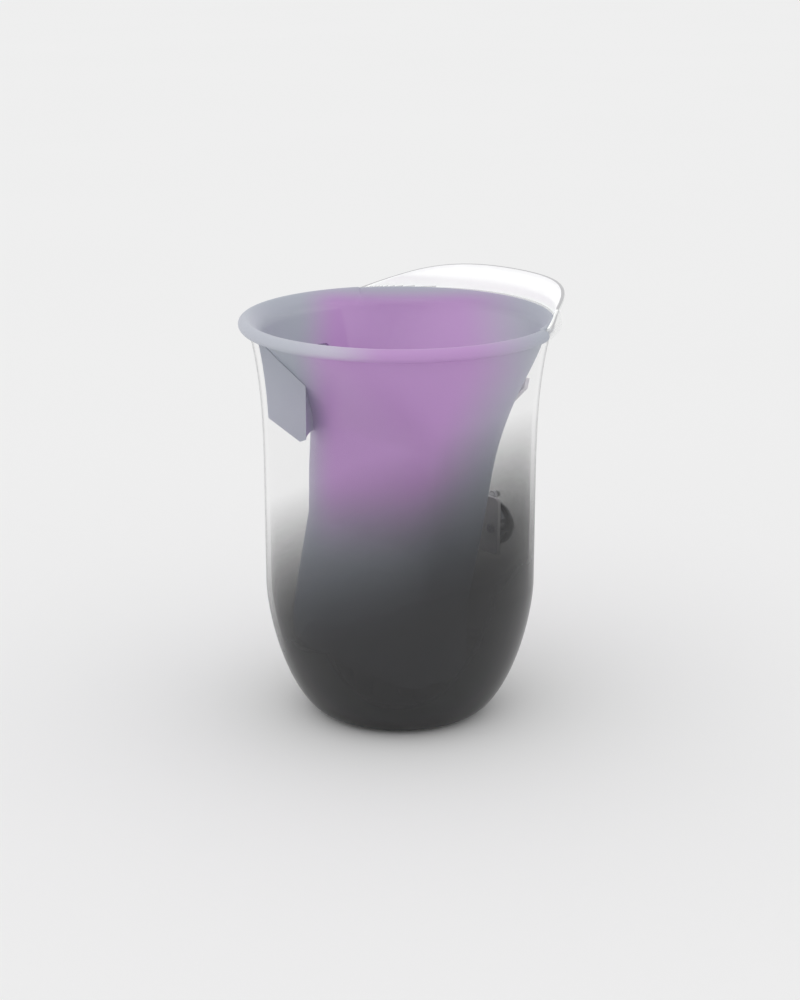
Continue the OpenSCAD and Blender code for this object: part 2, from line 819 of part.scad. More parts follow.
lamp_screw_rise = 6;
lamp_screw_l = 5;
lamp_head_r = 1.3;
lamp_head_h = 0.8;
lamp_boss_r = 2;
lamp_boss_hole = 2.6;
fin_depth = 1.6;
fin_w = 0.8;
fin_pitch = 2.4;
emitter_w = 3;

// The skin's point in a direction from its ring's own middle, and its outward normal
function around(z, a) =
    let (
        half_y = (cup_back(z) - cup_front(z)) / 2,
        p = cup_power(z),
        r = pow(pow(abs(cos(a)) / cup_x(z), p) + pow(abs(sin(a)) / half_y, p), -1 / p)
    )
    [r * cos(a), (cup_back(z) + cup_front(z)) / 2 + r * sin(a), z];
lamp_point = around(lamp_z, lamp_angle);
lamp_cross = cross(
    around(lamp_z, lamp_angle + 1) - around(lamp_z, lamp_angle - 1),
    around(lamp_z + 1, lamp_angle) - around(lamp_z - 1, lamp_angle)
);
lamp_normal = lamp_cross / norm(lamp_cross);

module lamp_frame() {
    translate(lamp_point)
        rotate([0, asin(lamp_normal[2]), atan2(lamp_normal[1], lamp_normal[0]) + 180])
            children();
}

// A plate in the lamp's frame from x outwards, with its width, height and thickness
module lamp_plate(x, w, h, t, r, drop = 0) {
    translate([x, 0, -drop]) rotate([90, 0, 90]) linear_extrude(t) rounded(w, h, r);
}

module pod_section(inset) {
    low = pod_low_z + inset * norm([1, pod_slope]);
    steps = 8;
    function out_r(z) = shell_in(z) - pod_gap - inset;
    toe_h = 0.8;
    above = 10;
    corner_z = low + pod_slope * (out_r(low + above) - pod_low_r);
    polygon(concat(
        [[pod_in_r + inset, low + toe_h], [pod_low_r, low]],
        [for (k = [0:steps]) let (z = mix(corner_z, pod_top_z - inset, k / steps)) [out_r(z), z]],
        [[pod_in_r + inset, pod_top_z - inset]]
    ));
}

module pod_sector(inset) {
    trim = inset / pod_low_r * 180 / PI;
    rotate(pod_angle - pod_half + trim)
        rotate_extrude(angle = 2 * (pod_half - trim)) pod_section(inset);
}

// The cup's skin where it opens, let out all round by the moulded fit
module cup_envelope() {
    levels = [for (z = outer_levels) if (z >= flare_z) z];
    closed_rings([for (z = levels) [for (a = ring_angles) skin(z, a, -fit * norm([1, cup_slope(z)]))]]);
}

module lamp_housing() {
    boss_h = 8;
    color(satin) difference() {
        pod_sector(0);
        difference() {
            pod_sector(pod_wall);
            lamp_frame() lamp_screw_places()
                translate([spreader_back - boss_h, 0, 0]) rotate([0, 90, 0])
                    cylinder(r = lamp_boss_r, h = boss_h);
        }
        cup_envelope();
        lamp_frame() lamp_screw_places()
            translate([spreader_back - lamp_boss_hole, 0, 0]) rotate([0, 90, 0])
                cylinder(r = lamp_screw_r + screw_fit, h = lamp_boss_hole + over);
        translate(lamp_cable_hole)
            cylinder(r = cable_r + fit, h = 2 * through, center = true);
    }
}

module lamp_screw_places() {
    for (s = [-1, 1])
        translate([0, s * lamp_screw_y, -s * lamp_screw_rise - lamp_drop]) children();
}

module lamp_window() {
    color(clear) lamp_frame()
        lamp_plate(window_back, window_w, window_h, window_t, window_corner);
}

// A frame plate of the lamp's stack, open over the middle by a border
module lamp_border(x, t, h, open_h) {
    difference() {
        lamp_plate(x, window_w + 2 * frame_edge, h, t, window_corner);
        lamp_plate(x - over, window_w - 2 * frame_edge, open_h, t + 2 * over, window_corner / 2);
    }
}

module window_gasket() {
    color(rubber) lamp_frame()
        lamp_border(window_back - gasket_t, gasket_t, window_h + 2 * frame_edge,
            window_h - 2 * frame_edge);
}

module lamp_reflector() {
    color("silver") lamp_frame() difference() {
        lamp_border(reflector_back, reflector_t, window_h, window_h - 2 * reflector_edge);
        lamp_screw_places() translate([reflector_back - over, 0, 0]) rotate([0, 90, 0])
            cylinder(r = lamp_head_r + slide, h = reflector_t + 2 * over);
    }
}

module uv_emitters() {
    row_low = reflector_edge + fit - window_h / 2;
    row_high = lamp_board_h / 2 - lamp_drop - fit;
    pitch = (row_high - row_low - emitter_w) / (uv_led_count - 1);
    case_t = 0.8;
    dome_r = 1.2;
    dome_t = 0.3;
    color("gold") lamp_frame() for (k = [0:uv_led_count - 1])
        translate([reflector_back, 0, row_low + emitter_w / 2 + k * pitch]) {
            translate([0, -emitter_w / 2, -emitter_w / 2]) cube([case_t, emitter_w, emitter_w]);
            translate([case_t, 0, 0]) rotate([0, 90, 0]) cylinder(r = dome_r, h = dome_t);
        }
}

module lamp_stack_plate(x, w, h, t) {
    difference() {
        lamp_plate(x, w, h, t, 1, lamp_drop);
        lamp_screw_places() translate([x - over, 0, 0]) rotate([0, 90, 0])
            cylinder(r = lamp_screw_r + slide, h = t + 2 * over);
    }
}

module lamp_board() {
    color("white") lamp_frame()
        lamp_stack_plate(lamp_board_back, lamp_board_w, lamp_board_h, lamp_board_t);
}

module heat_spreader() {
    fin_h = 0.55 * lamp_board_h;
    color("silver") lamp_frame() union() {
        lamp_stack_plate(spreader_back, lamp_board_w, lamp_board_h, spreader_t);
        for (k = [0:2])
            translate([spreader_back - fin_depth, -k * fin_pitch - fin_w / 2,
                -lamp_board_h / 2 - lamp_drop])
                cube([fin_depth + tiny, fin_w, fin_h]);
    }
}

module lamp_screws() {
    color(steel) lamp_frame() lamp_screw_places()
        translate([reflector_back + lamp_head_h, 0, 0]) rotate([0, -90, 0])
            screw(lamp_head_r, lamp_head_h, lamp_screw_r, lamp_screw_l);
}

// ---- Charging coil ----------------------------------------------------------------------
// The coil's frame lies on the pocket's back wall where it leans: Z runs up the wall
// and Y points out of it, to the back.
coil_mid = 36;           // how far up the lean the coil's middle is
tray_gap = 0.6;          // the bonding foam between the cup's wall and the tray
coil_t = 1.3;
coil_core_r = 9;
ferrite_t = 1;
ferrite_edge = 0.6;      // how far the ferrite reaches past the coil
tray_half = 24;
tray_t = 5.2;
tray_floor = 2.4;
cover_t = 2;
cover_edge = 2;          // how far the cover laps past the tray
// One arm of the cover, from its outer foot up to the tip that braces under the flare
arm_w = 6.5;
arm_rise = 14.4;
arm_tip = [37.7, 94];
arm_tip_h = 4.1;
coil_screw_in = 3;       // how far in from the tray's edge its screws stand
tray_corner = 5;
foam_r = 1.2;            // how much wider the tray's recess is than the coil
screw_in_tray = 2.8;     // how deep the coil's screws go into the tray
pad_t = 1;
rest_pad_w = 44;
rest_pad_h = 60;
rest_pad_corner = 8;
floor_pad_w = 58;
floor_pad_d = 17;
floor_pad_t = 1.6;
floor_pad_corner = 5;

module leaning() {
    translate([0, lean_y(cup_low_z), cup_low_z]) rotate([-lean, 0, 0]) children();
}

// A plate on the leaning wall, from y outwards, centred at a height up the lean
module leaning_plate(y, mid, w, h, t, r) {
    leaning() along_y(y, mid, t) rounded(w, h, r);
}

module coil_screw_places() {
    at = tray_half - coil_screw_in;
    leaning() for (x = [-at, at], z = [coil_mid - at, coil_mid + at])
        translate([x, 0, z]) children();
}

module coil_tray() {
    color(plastic_grey) difference() {
        leaning_plate(tray_gap, coil_mid, 2 * tray_half, 2 * tray_half, tray_t, tray_corner);
        leaning() along_y(tray_gap - over, coil_mid, tray_t - tray_floor + over)
            circle(coil_r + foam_r);
        coil_screw_places() rotate([-90, 0, 0])
            translate([0, 0, tray_gap + tray_t - screw_in_tray - seat])
            cylinder(r = small_screw_r + screw_fit, h = tray_t);
        // The way out for the coil's two leads
        leaning() along_y(tray_gap - over, coil_mid - tray_half, tray_t - tray_floor + over)
            translate([coil_lead_x, 0]) square([2 * cable_r + foam_r, 2 * tray_half], center = true);
    }
}

module charging_coil() {
    back = tray_gap + tray_t - tray_floor - ferrite_t;
    groove = 0.25;
    turns = floor((coil_r - coil_core_r) / 1.5);
    color(copper) leaning() translate([0, back, coil_mid]) rotate([90, 0, 0]) difference() {
        cylinder(r = coil_r, h = coil_t);
        translate([0, 0, -over]) cylinder(r = coil_core_r, h = coil_t + 2 * over);
        for (k = [1:turns - 1])
            translate([0, 0, coil_t - groove]) rotate_extrude()
                translate([coil_core_r + k * (coil_r - coil_core_r) / turns, 0])
                    square([0.2, groove + over]);
    }
}

module ferrite_plate() {
    back = tray_gap + tray_t - tray_floor - ferrite_t;
    color("#3a3634") leaning() along_y(back, coil_mid, ferrite_t) circle(coil_r + ferrite_edge);
}

// The cover's two arms: up beside the cup, then splayed out under its flare
module cover_arms(half, high) {
    arm = [
        [half, high - tray_corner],
        [half, high + arm_rise],
        [arm_tip[0], arm_tip[1] - arm_tip_h],
        [arm_tip[0], arm_tip[1]],
        [arm_tip[0] - 1, arm_tip[1]],
        [arm_tip[0] - arm_w, arm_tip[1] - arm_w],
        [half - arm_w, high + arm_rise + 1],
        [half - arm_w, high - 1]
    ];
    polygon(concat(arm, [for (k = [len(arm) - 1:-1:0]) [-arm[k][0], arm[k][1]]]));
}

module coil_cover() {
    back = tray_gap + tray_t;
    half = tray_half + cover_edge;
    high = coil_mid + half;
    color(satin) difference() {
        leaning() along_y(back, 0, cover_t) union() {
            translate([0, coil_mid]) rounded(2 * half, 2 * half, tray_corner);
            cover_arms(half, high);
        }
        coil_screw_places() rotate([-90, 0, 0]) translate([0, 0, back - over])
            cylinder(r = small_screw_r + slide, h = cover_t + 2 * over);
    }
}

module coil_screws() {
    color(steel) coil_screw_places() rotate([90, 0, 0])
        translate([0, 0, -(tray_gap + tray_t + cover_t + small_head_h)])
            screw(small_head_r, small_head_h, small_screw_r, small_head_h + cover_t + screw_in_tray);
}

// ---- Soft pads --------------------------------------------------------------------------
module rest_pad() {
    face = -liner_wall * cos(lean) - seat;
    color(rubber) leaning_plate(face - pad_t, coil_mid, rest_pad_w, rest_pad_h, pad_t,
        rest_pad_corner);
}

module floor_pad() {
    mid = (cup_back(pocket_floor_z) + cup_front(pocket_floor_z)) / 2;
    color(rubber) translate([0, mid, pocket_floor_z + seat])
        block([floor_pad_w, floor_pad_d, floor_pad_t], floor_pad_corner);
}

// ---- Wires inside -------------------------------------------------------------------------
cable_r = 1;
cable_sides = 8;
coil_lead_x = 14;
lamp_cable_start = [-45.6, -9.6, 124.6];
lamp_cable_hole = [-45.7, -9.2, 119];
lamp_route = [
    lamp_cable_start, [-45.7, -9.2, 119], [-46, -8, 112], [-47, -2, 96], [-47, 4, 76],
    [-46, 10, 56], [-42, 16, 40], [-33, 19, 29], [-24, 19, 23],
    [lamp_plug_at[0], lamp_plug_at[1], plug_top_z]
];
coil_route = [
    [14, 10.4, 68], [14, 10, 62], [14, 11, 52], [16, 15, 38], [20, 18, 27],
    [coil_plug_at[0], coil_plug_at[1], plug_top_z]
];
switch_route = [
    [-6, board_back_y, 63], [-6, 38, 62.5], [-5, 35.5, 56], [-3, 34, 42], [1, 32, 26],
    [switch_plug_at[0], switch_plug_at[1], plug_top_z]
];

// A smooth run through the route's points, a few steps to each
function run_point(p, j, t) =
    let (a = p[max(0, j - 1)], b = p[j], c = p[j + 1], d = p[min(len(p) - 1, j + 2)])
    0.5 * (2 * b + (c - a) * t + (2 * a - 5 * b + 4 * c - d) * t * t
        + (3 * b - a - 3 * c + d) * t * t * t);
function run(p, steps) = concat(
    [for (j = [0:len(p) - 2], k = [0:steps - 1]) run_point(p, j, k / steps)],
    [p[len(p) - 1]]
);
function unit(v) = v / norm(v);

// Rings square to the run, turned level with a fixed side so that they don't twist
function ring_about(c, way, side, r) =
    let (u = unit(cross(way, side)), v = unit(cross(way, u)))
    [for (k = [0:cable_sides - 1])
        let (a = 360 * k / cable_sides) c - r * (cos(a) * u - sin(a) * v)];

module wire(route, side, first_way, last_way) {
    p = run(route, 4);
    n = len(p) - 1;
    closed_rings([for (j = [0:n])
        let (way = j == 0 ? first_way : j == n ? last_way : unit(p[j + 1] - p[j - 1]))
        ring_about(p[j], way, side, cable_r)]);
}

module lamp_cable() {
    color(rubber) wire(lamp_route, [1, 0.2, 0], [0, 0, -1], [0, 0, -1]);
}

module coil_cable() {
    color(rubber) wire(coil_route, [1, 0, 0], [0, 0, -1], [0, 0, -1]);
}

module switch_cable() {
    color(rubber) wire(switch_route, [1, 0, 0], [0, -1, 0], [0, 0, -1]);
}

outer_shell();
inner_cup();
rim_seal();
bottom_cover();
foot_ring();
cover_screws();
chassis();
ballast_plate();
pocket_base();
cup_screws();
main_board();
board_screws();
control_chips();
power_coil();
capacitors();
board_connectors();
usb_socket();
usb_bezel();
switch_board();
switch_board_screws();
switch_housing();
switch_stem();
switch_plunger();
button_cap();
button_bezel();
status_led();
light_pipe();
lamp_housing();
lamp_window();
window_gasket();
lamp_reflector();
uv_emitters();
lamp_board();
heat_spreader();
lamp_screws();
coil_tray();
charging_coil();
ferrite_plate();
coil_cover();
coil_screws();
rest_pad();
floor_pad();
lamp_cable();
coil_cable();
switch_cable();
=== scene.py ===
"""A see-through cup that cleans a phone with ultraviolet light, put together piece by piece.

Sizes are in millimetres where a comment doesn't say otherwise, as in the part's own
drawings, and every mesh is made in metres.
"""
import math

import bmesh
import bpy
import numpy as np
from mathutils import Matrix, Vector


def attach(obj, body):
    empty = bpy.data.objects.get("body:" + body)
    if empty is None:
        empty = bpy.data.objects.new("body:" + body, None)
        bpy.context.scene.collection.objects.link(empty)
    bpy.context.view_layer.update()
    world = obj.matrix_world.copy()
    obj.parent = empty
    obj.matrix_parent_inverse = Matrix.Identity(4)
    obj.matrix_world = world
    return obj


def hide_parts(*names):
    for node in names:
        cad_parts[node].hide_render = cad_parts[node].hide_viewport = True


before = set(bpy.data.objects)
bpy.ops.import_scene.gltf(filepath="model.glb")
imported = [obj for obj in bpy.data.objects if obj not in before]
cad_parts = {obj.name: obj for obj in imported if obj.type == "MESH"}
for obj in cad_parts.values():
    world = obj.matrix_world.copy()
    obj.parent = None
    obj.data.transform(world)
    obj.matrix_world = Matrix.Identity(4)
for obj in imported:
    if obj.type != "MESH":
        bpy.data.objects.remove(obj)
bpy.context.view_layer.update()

# ---- Camera ---------------------------------------------------------------------------
# The camera stands in front of the cup, round to its right and a little above the rim,
# and looks at the middle of the vessel.
turn, rise, reach, middle_height = math.radians(50), math.radians(17), 0.830, 0.090
towards_eye = Vector((
    math.sin(turn) * math.cos(rise), -math.cos(turn) * math.cos(rise), math.sin(rise)))
camera = bpy.data.objects.new("camera", bpy.data.cameras.new("camera"))
camera.data.lens = 72
camera.data.sensor_width = 36
camera.location = Vector((0, 0, middle_height)) + reach * towards_eye
camera.rotation_euler = (-towards_eye).to_track_quat("-Z", "Y").to_euler()
bpy.context.scene.collection.objects.link(camera)
bpy.context.scene.camera = camera


# ---- Table and light ------------------------------------------------------------------
# A pale matt table that runs out of sight, under even light from all round and one soft
# lamp at the upper left, so that a colour shows about as it is mixed.
class Wire:
    """One value on its way through a finish: its sums, products and powers add Math nodes."""

    def __init__(self, finish, socket):
        self.finish, self.socket = finish, socket

    def math(self, operation, *values):
        return self.finish.node("Math", {"operation": operation}, dict(enumerate(values)))

    def __add__(self, other):
        return self.math("ADD", self, other)

    def __sub__(self, other):
        return self.math("SUBTRACT", self, other)

    def __rsub__(self, other):
        return self.math("SUBTRACT", other, self)

    def __mul__(self, other):
        return self.math("MULTIPLY", self, other)

    def __truediv__(self, other):
        return self.math("DIVIDE", self, other)

    def __pow__(self, power):
        return self.math("POWER", self, power)

    def __rtruediv__(self, other):
        return self.math("DIVIDE", other, self)

    __radd__ = __add__
    __rmul__ = __mul__

    def ramp(self, low, high, to_low=0.0, to_high=1.0):
        """Eases from to_low to to_high while this value goes from low to high."""
        return self.finish.node("MapRange", {"interpolation_type": "SMOOTHSTEP"}, {
            "Value": self, "From Min": low, "From Max": high,
            "To Min": to_low, "To Max": to_high})

    def least(self, other):
        return self.math("MINIMUM", self, other)

    def most(self, other):
        return self.math("MAXIMUM", self, other)


class Finish:
    """A material in the making: every node comes from node(), and surface() closes it."""

    def __init__(self, name, tree=None):
        self.material = None
        if tree is None:
            self.material = bpy.data.materials.new(name)
            self.material.use_nodes = True
            tree = self.material.node_tree
        self.tree = tree
        tree.nodes.clear()

    def node(self, kind, settings=None, inputs=None, out=0):
        """Adds one node: its type, its settings, then the values or wires of its sockets."""
        made = self.tree.nodes.new("ShaderNode" + kind)
        for name, setting in (settings or {}).items():
            setattr(made, name, setting)
        for name, value in (inputs or {}).items():
            socket = made.inputs[name]
            if isinstance(value, Wire):
                self.tree.links.new(value.socket, socket)
            elif socket.type == "RGBA" and len(value) == 3:
                socket.default_value = (*value, 1)
            else:
                socket.default_value = value
        return Wire(self, made.outputs[out])

    def place(self):
        return self.node("TexCoord", out="Object")

    def axes(self):
        """X, Y and Z of the point, in metres."""
        place = self.place()
        return [self.node("SeparateXYZ", inputs={0: place}, out=k) for k in range(3)]

    def noise(self, size, detail=3, stretch=(1, 1, 1)):
        """Cloudy variation from 0 to 1, with spots of about the given size in metres."""
        place = self.node("Mapping", inputs={"Vector": self.place(), "Scale": stretch})
        return self.node("TexNoise", inputs={
            "Vector": place, "Scale": 1 / size, "Detail": detail})

    def blend(self, amount, first, second):
        """The first colour where amount is 0 and the second where it is 1."""
        return self.node("Mix", {"data_type": "RGBA"}, {0: amount, 6: first, 7: second}, out=2)

    def bump(self, height, depth, strength=1.0):
        """Raises the surface where height is 1, by depth metres."""
        return self.node("Bump", inputs={
            "Strength": strength, "Distance": depth, "Height": height})

    def surface(self, **sockets):
        """Ends the finish in the main shader; a socket's name is written with _ for spaces."""
        named = {name.replace("_", " "): value for name, value in sockets.items()}
        shader = self.node("BsdfPrincipled", inputs=named, out="BSDF")
        end = self.tree.nodes.new("ShaderNodeOutputMaterial")
        self.tree.links.new(shader.socket, end.inputs["Surface"])
        return self.material


table_top, table_half = Finish("pale_table"), 14
paper = table_top.noise(0.4, 2)
table_top.surface(
    Base_Color=table_top.blend(paper, (0.890, 0.890, 0.890), (0.902, 0.902, 0.902)),
    Roughness=0.9, Specular_IOR_Level=0.0)
table_mesh = bpy.data.meshes.new("table")
table_mesh.from_pydata([(x * table_half, y * table_half, 0) for x, y in [
    (-1, -1), (1, -1), (1, 1), (-1, 1)]], [], [(0, 1, 2, 3)])
table_mesh.materials.append(table_top.material)
table = bpy.data.objects.new("table", table_mesh)
bpy.context.scene.collection.objects.link(table)

room_light = 0.863
world = bpy.data.worlds.new("studio")
world.use_nodes = True
bpy.context.scene.world = world
room = Finish("studio", world.node_tree)
even = room.node("Background", inputs={"Color": (1, 1, 1), "Strength": room_light})
room_end = room.tree.nodes.new("ShaderNodeOutputWorld")
room.tree.links.new(even.socket, room_end.inputs["Surface"])

for name, strength, angle, side, height in [
        ("key_light", 0.28, 50, -35, 60), ("fill_light", 0.10, 60, 75, 40)]:
    light = bpy.data.objects.new(name, bpy.data.lights.new(name, "SUN"))
    light.data.energy = strength
    light.data.angle = math.radians(angle)
    around, up = turn + math.radians(side), math.radians(height)
    light.rotation_euler = Vector((
        math.sin(around) * math.cos(up), -math.cos(around) * math.cos(up), math.sin(up)
    )).to_track_quat("Z", "Y").to_euler()
    bpy.context.scene.collection.objects.link(light)
bpy.context.scene.view_settings.view_transform = "Standard"

# ---- Outer vessel ---------------------------------------------------------------------
# A tulip of clear plastic, moulded in one piece and smoked at the foot. Its rim goes up
# into the rolled lip of the inner cup. The back is bored for the button, the light and
# the charging socket.
MM = 0.001
base_r, body_r, foot_z, belly_z, bowl_power = 34, 56, 1.2, 56, 1.6
neck_z, neck_out, rim_z, wall, floor_z = 98, 5.2, 163.4, 2.2, 5.0
cover_seat_r, cover_hole_r, cover_z, rim_round = 31.3, 24.5, 3.0, 0.5
button_z, ring_bore_r, flat_r, flat_y = 69, 7.8, 9.5, 55.2
pipe_z, pipe_bore_r = 82, 1.3
port_z, port_w, port_h, port_corner = 16.23, 15.5, 9.6, 3.1


def vessel_r(z):
    """Radius at height z: the bowl is a superellipse, the neck opens with the cube of height."""
    bowl = base_r + (body_r - base_r) * (
        1 - (np.clip(belly_z - z, 0, belly_z - foot_z) / (belly_z - foot_z)) ** bowl_power
    ) ** (1 / bowl_power)
    neck = body_r + neck_out * np.clip((z - neck_z) / (rim_z - neck_z), 0, 1) ** 3
    return np.where(z < belly_z, bowl, neck)


def vessel_inside(z):
    """Radius of the inner face: one wall in, measured square to the slope."""
    near = 0.05
    slope = (vessel_r(z + near) - vessel_r(z - near)) / (2 * near)
    return vessel_r(z) - wall * np.hypot(1, slope)


def weave(name, *grids, wrap=(True, False), caps=False):
    """One mesh through grids of points: rows x columns x 3, in millimetres.

    Each cell of four neighbours is a face. wrap joins the last column to the first, and
    the last row to the first. caps fills the first and the last row with one face each.
    """
    points, faces, start = [], [], 0
    for grid in grids:
        rows, cols = grid.shape[:2]
        j = np.arange(rows if wrap[1] else rows - 1)
        k = np.arange(cols if wrap[0] else cols - 1)
        j, k = np.meshgrid(j, k, indexing="ij")
        up, on = (j + 1) % rows, (k + 1) % cols
        cells = np.stack([j * cols + k, j * cols + on, up * cols + on, up * cols + k], -1)
        faces += (cells.reshape(-1, 4) + start).tolist()
        if caps:
            faces.append((np.arange(cols)[::-1] + start).tolist())
            faces.append((np.arange(cols) + start + (rows - 1) * cols).tolist())
        points.append(grid.reshape(-1, 3))
        start += rows * cols
    mesh = bpy.data.meshes.new(name)
    mesh.from_pydata((np.concatenate(points) * MM).tolist(), [], faces)
    return mesh


def piece(mesh, finish, body="vessel", stands_for=(), crease=35):
    """Puts a mesh in the scene: merged, facing outwards, smooth below the crease angle."""
    tool = bmesh.new()
    tool.from_mesh(mesh)
    bmesh.ops.remove_doubles(tool, verts=tool.verts, dist=1e-6)
    bmesh.ops.recalc_face_normals(tool, faces=tool.faces)
    tool.to_mesh(mesh)
    tool.free()
    mesh.shade_smooth()
    mesh.set_sharp_from_angle(angle=math.radians(crease))
    mesh.materials.append(finish.material)
    made = bpy.data.objects.new(mesh.name, mesh)
    bpy.context.scene.collection.objects.link(made)
    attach(made, body)
    if stands_for:
        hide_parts(*stands_for)
    return made


def turned(outline, columns=192, turns=None):
    """A turned shape: each (radius, height) of the outline goes once round the Z axis."""
    outline = np.asarray(outline, float)
    angle = np.linspace(0, 2 * np.pi, columns, endpoint=False) if turns is None else turns
    r, z = outline[:, :1], outline[:, 1:]
    return np.stack([r * np.cos(angle), r * np.sin(angle), z + 0 * angle], -1)


def rounded_box(w, h, r, steps=8):
    """Outline of a rectangle with round corners: four quarter circles, one after another."""
    quarter_turn = np.linspace(0, np.pi / 2, steps)
    corners = []
    for quarter, (sx, sy) in enumerate([(1, 1), (-1, 1), (-1, -1), (1, -1)]):
        a = quarter_turn + quarter * np.pi / 2
        corners.append(np.stack([sx * (w / 2 - r) + r * np.cos(a),
                                 sy * (h / 2 - r) + r * np.sin(a)], -1))
    return np.concatenate(corners)


def bored(made, *cutters):
    """Cuts closed tools, given as grids of rings, right out of a finished piece."""
    for grid in cutters:
        tool = bpy.data.objects.new("tool", weave("tool", grid, caps=True))
        mesh = bmesh.new()
        mesh.from_mesh(tool.data)
        bmesh.ops.recalc_face_normals(mesh, faces=mesh.faces)
        mesh.to_mesh(tool.data)
        mesh.free()
        bpy.context.scene.collection.objects.link(tool)
        cut = made.modifiers.new("cut", "BOOLEAN")
        cut.operation, cut.solver, cut.object = "DIFFERENCE", "EXACT", tool
        bpy.context.view_layer.update()
        seen_by = bpy.context.evaluated_depsgraph_get()
        result = bpy.data.meshes.new_from_object(made.evaluated_get(seen_by))
        made.modifiers.clear()
        old, made.data = made.data, result
        result.name = old.name
        bpy.data.objects.remove(tool)
    made.data.set_sharp_from_angle(angle=math.radians(35))
    return made


def rod_y(outline, y0, y1, z):
    """A tool along Y: the outline's X and height, at y0 and at y1."""
    ring = np.stack([outline[:, 0], 0 * outline[:, 0], outline[:, 1] + z], -1)
    return np.stack([ring + [0, y, 0] for y in (y0, y1)])


def circle(r, steps=64):
    """Points of a circle, as cosine and sine times its radius."""
    a = np.linspace(0, 2 * np.pi, steps, endpoint=False)
    return np.stack([r * np.cos(a), r * np.sin(a)], -1)


right_x, right_y = 0.643, 0.766                 # the way to the right of the cup's shown side


def shown_side(made):
    """How far a point lies to the right and to the front of the shown side, and its height."""
    x, y, z = made.axes()
    return right_x * x + right_y * y, right_y * x - right_x * y, z


def tilted(made, across, towards):
    """Height of a point over a plane that rises to the right and to the front, in metres."""
    aside, near, z = shown_side(made)
    return z - across * aside - towards * near


def see_through(name, line):
    """Clear plastic that turns to dark smoke downwards; line is how grey its outline shows.

    The smoke starts at a tilted level and thickens with a power of the depth under it.
    """
    made = Finish(name)
    smoke_level, smoke_depth, smoke_power, smoke_most = 0.111, 0.075, 1.25, 0.8
    depth = (smoke_level - tilted(made, 0.36, 0.306)) / smoke_depth
    smoke = smoke_most * depth.most(0).least(1) ** smoke_power
    flow = made.noise(0.02, 2, (1, 1, 0.3))
    facing = made.node("LayerWeight", inputs={"Blend": 0.5}, out="Facing")
    veil = 0.010 + 0.015 * flow + line * facing.ramp(0.80, 0.95)
    made.surface(
        Base_Color=made.blend(smoke / (smoke + veil),
                              (0.34, 0.345, 0.35), (0.021, 0.021, 0.022)),
        Alpha=smoke + (1 - smoke) * veil, Roughness=0.14 + 0.16 * smoke + 0.05 * flow,
        Normal=made.bump(flow, 0.0001, 0.2), IOR=1.49)
    return made


smoked = see_through("smoked_clear_plastic", 0.55)
smoked_inside = see_through("smoked_inner_face", 0.0)

u = np.linspace(0, np.pi / 2, 40)
bowl = np.stack([base_r + (body_r - base_r) * np.sin(u) ** (2 / bowl_power),
                 belly_z - (belly_z - foot_z) * np.cos(u) ** (2 / bowl_power)], -1)
edge_from_z = rim_z - rim_round
up = np.linspace(belly_z, edge_from_z, 60)[1:]
down = np.concatenate([up[::-1], belly_z - (belly_z - floor_z) * (
    1 - np.cos(np.linspace(0, np.pi / 2, 36)))])
edge = np.linspace(0, np.pi, 9)
rim_out, rim_in = vessel_r(edge_from_z), vessel_inside(edge_from_z)
vessel_outline = np.concatenate([
    [[cover_seat_r, cover_z], [cover_seat_r, foot_z]], bowl, np.stack([vessel_r(up), up], -1),
    np.stack([(rim_out + rim_in) / 2 + (rim_out - rim_in) / 2 * np.cos(edge),
              edge_from_z + rim_round * np.sin(edge)], -1)[1:-1],
    np.stack([vessel_inside(down), down], -1),
    [[cover_hole_r, floor_z], [cover_hole_r, cover_z]]])
vessel = piece(weave("vessel_wall", turned(vessel_outline), wrap=(True, True)), smoked,
               stands_for=["outer_shell"])
port_y, bore_y, outside_y = 30, 45, 70
bored(vessel,
      rod_y(rounded_box(port_w, port_h, port_corner), port_y, outside_y, port_z),
      rod_y(circle(ring_bore_r), bore_y, outside_y, button_z),
      rod_y(circle(flat_r, 96), flat_y, outside_y, button_z),
      rod_y(circle(pipe_bore_r, 24), bore_y, outside_y, pipe_z))


def face_middles(made):
    """Middle of every face, in millimetres."""
    middle = np.empty(len(made.data.polygons) * 3)
    made.data.polygons.foreach_get("center", middle)
    return middle.reshape(-1, 3) / MM


# Faces more than 1 mm in from the outer skin take the inner finish
vessel.data.materials.append(smoked_inside.material)
middle = face_middles(vessel)
inside_face = np.hypot(middle[:, 0], middle[:, 1]) < vessel_r(middle[:, 2]) - 1
vessel.data.polygons.foreach_set("material_index", inside_face.astype(np.int32))

# Two bosses for the switch's screws stand in from the wall, each with a blind hole
boss_z, boss_r, boss_hole_r, boss_hole, boss_y, boss_edge = 72, 2.6, 0.95, 5, 43.1, 0.3
ring, bosses = circle(1, 32), []
for boss_x in (-11.5, 11.5):
    wall_y = np.sqrt(vessel_inside(boss_z + boss_r * ring[:, 1]) ** 2
                     - (boss_x + boss_r * ring[:, 0]) ** 2)
    bosses.append(np.stack([np.stack([
        boss_x + r * ring[:, 0], y + 0 * wall_y, boss_z + r * ring[:, 1]], -1) for r, y in [
            (boss_hole_r, boss_y + boss_hole), (boss_hole_r, boss_y), (boss_r - boss_edge, boss_y),
            (boss_r, boss_y + boss_edge), (boss_r, wall_y + 0.1)]]))
piece(weave("switch_bosses", *bosses, caps=True), smoked_inside, stands_for=["outer_shell"])

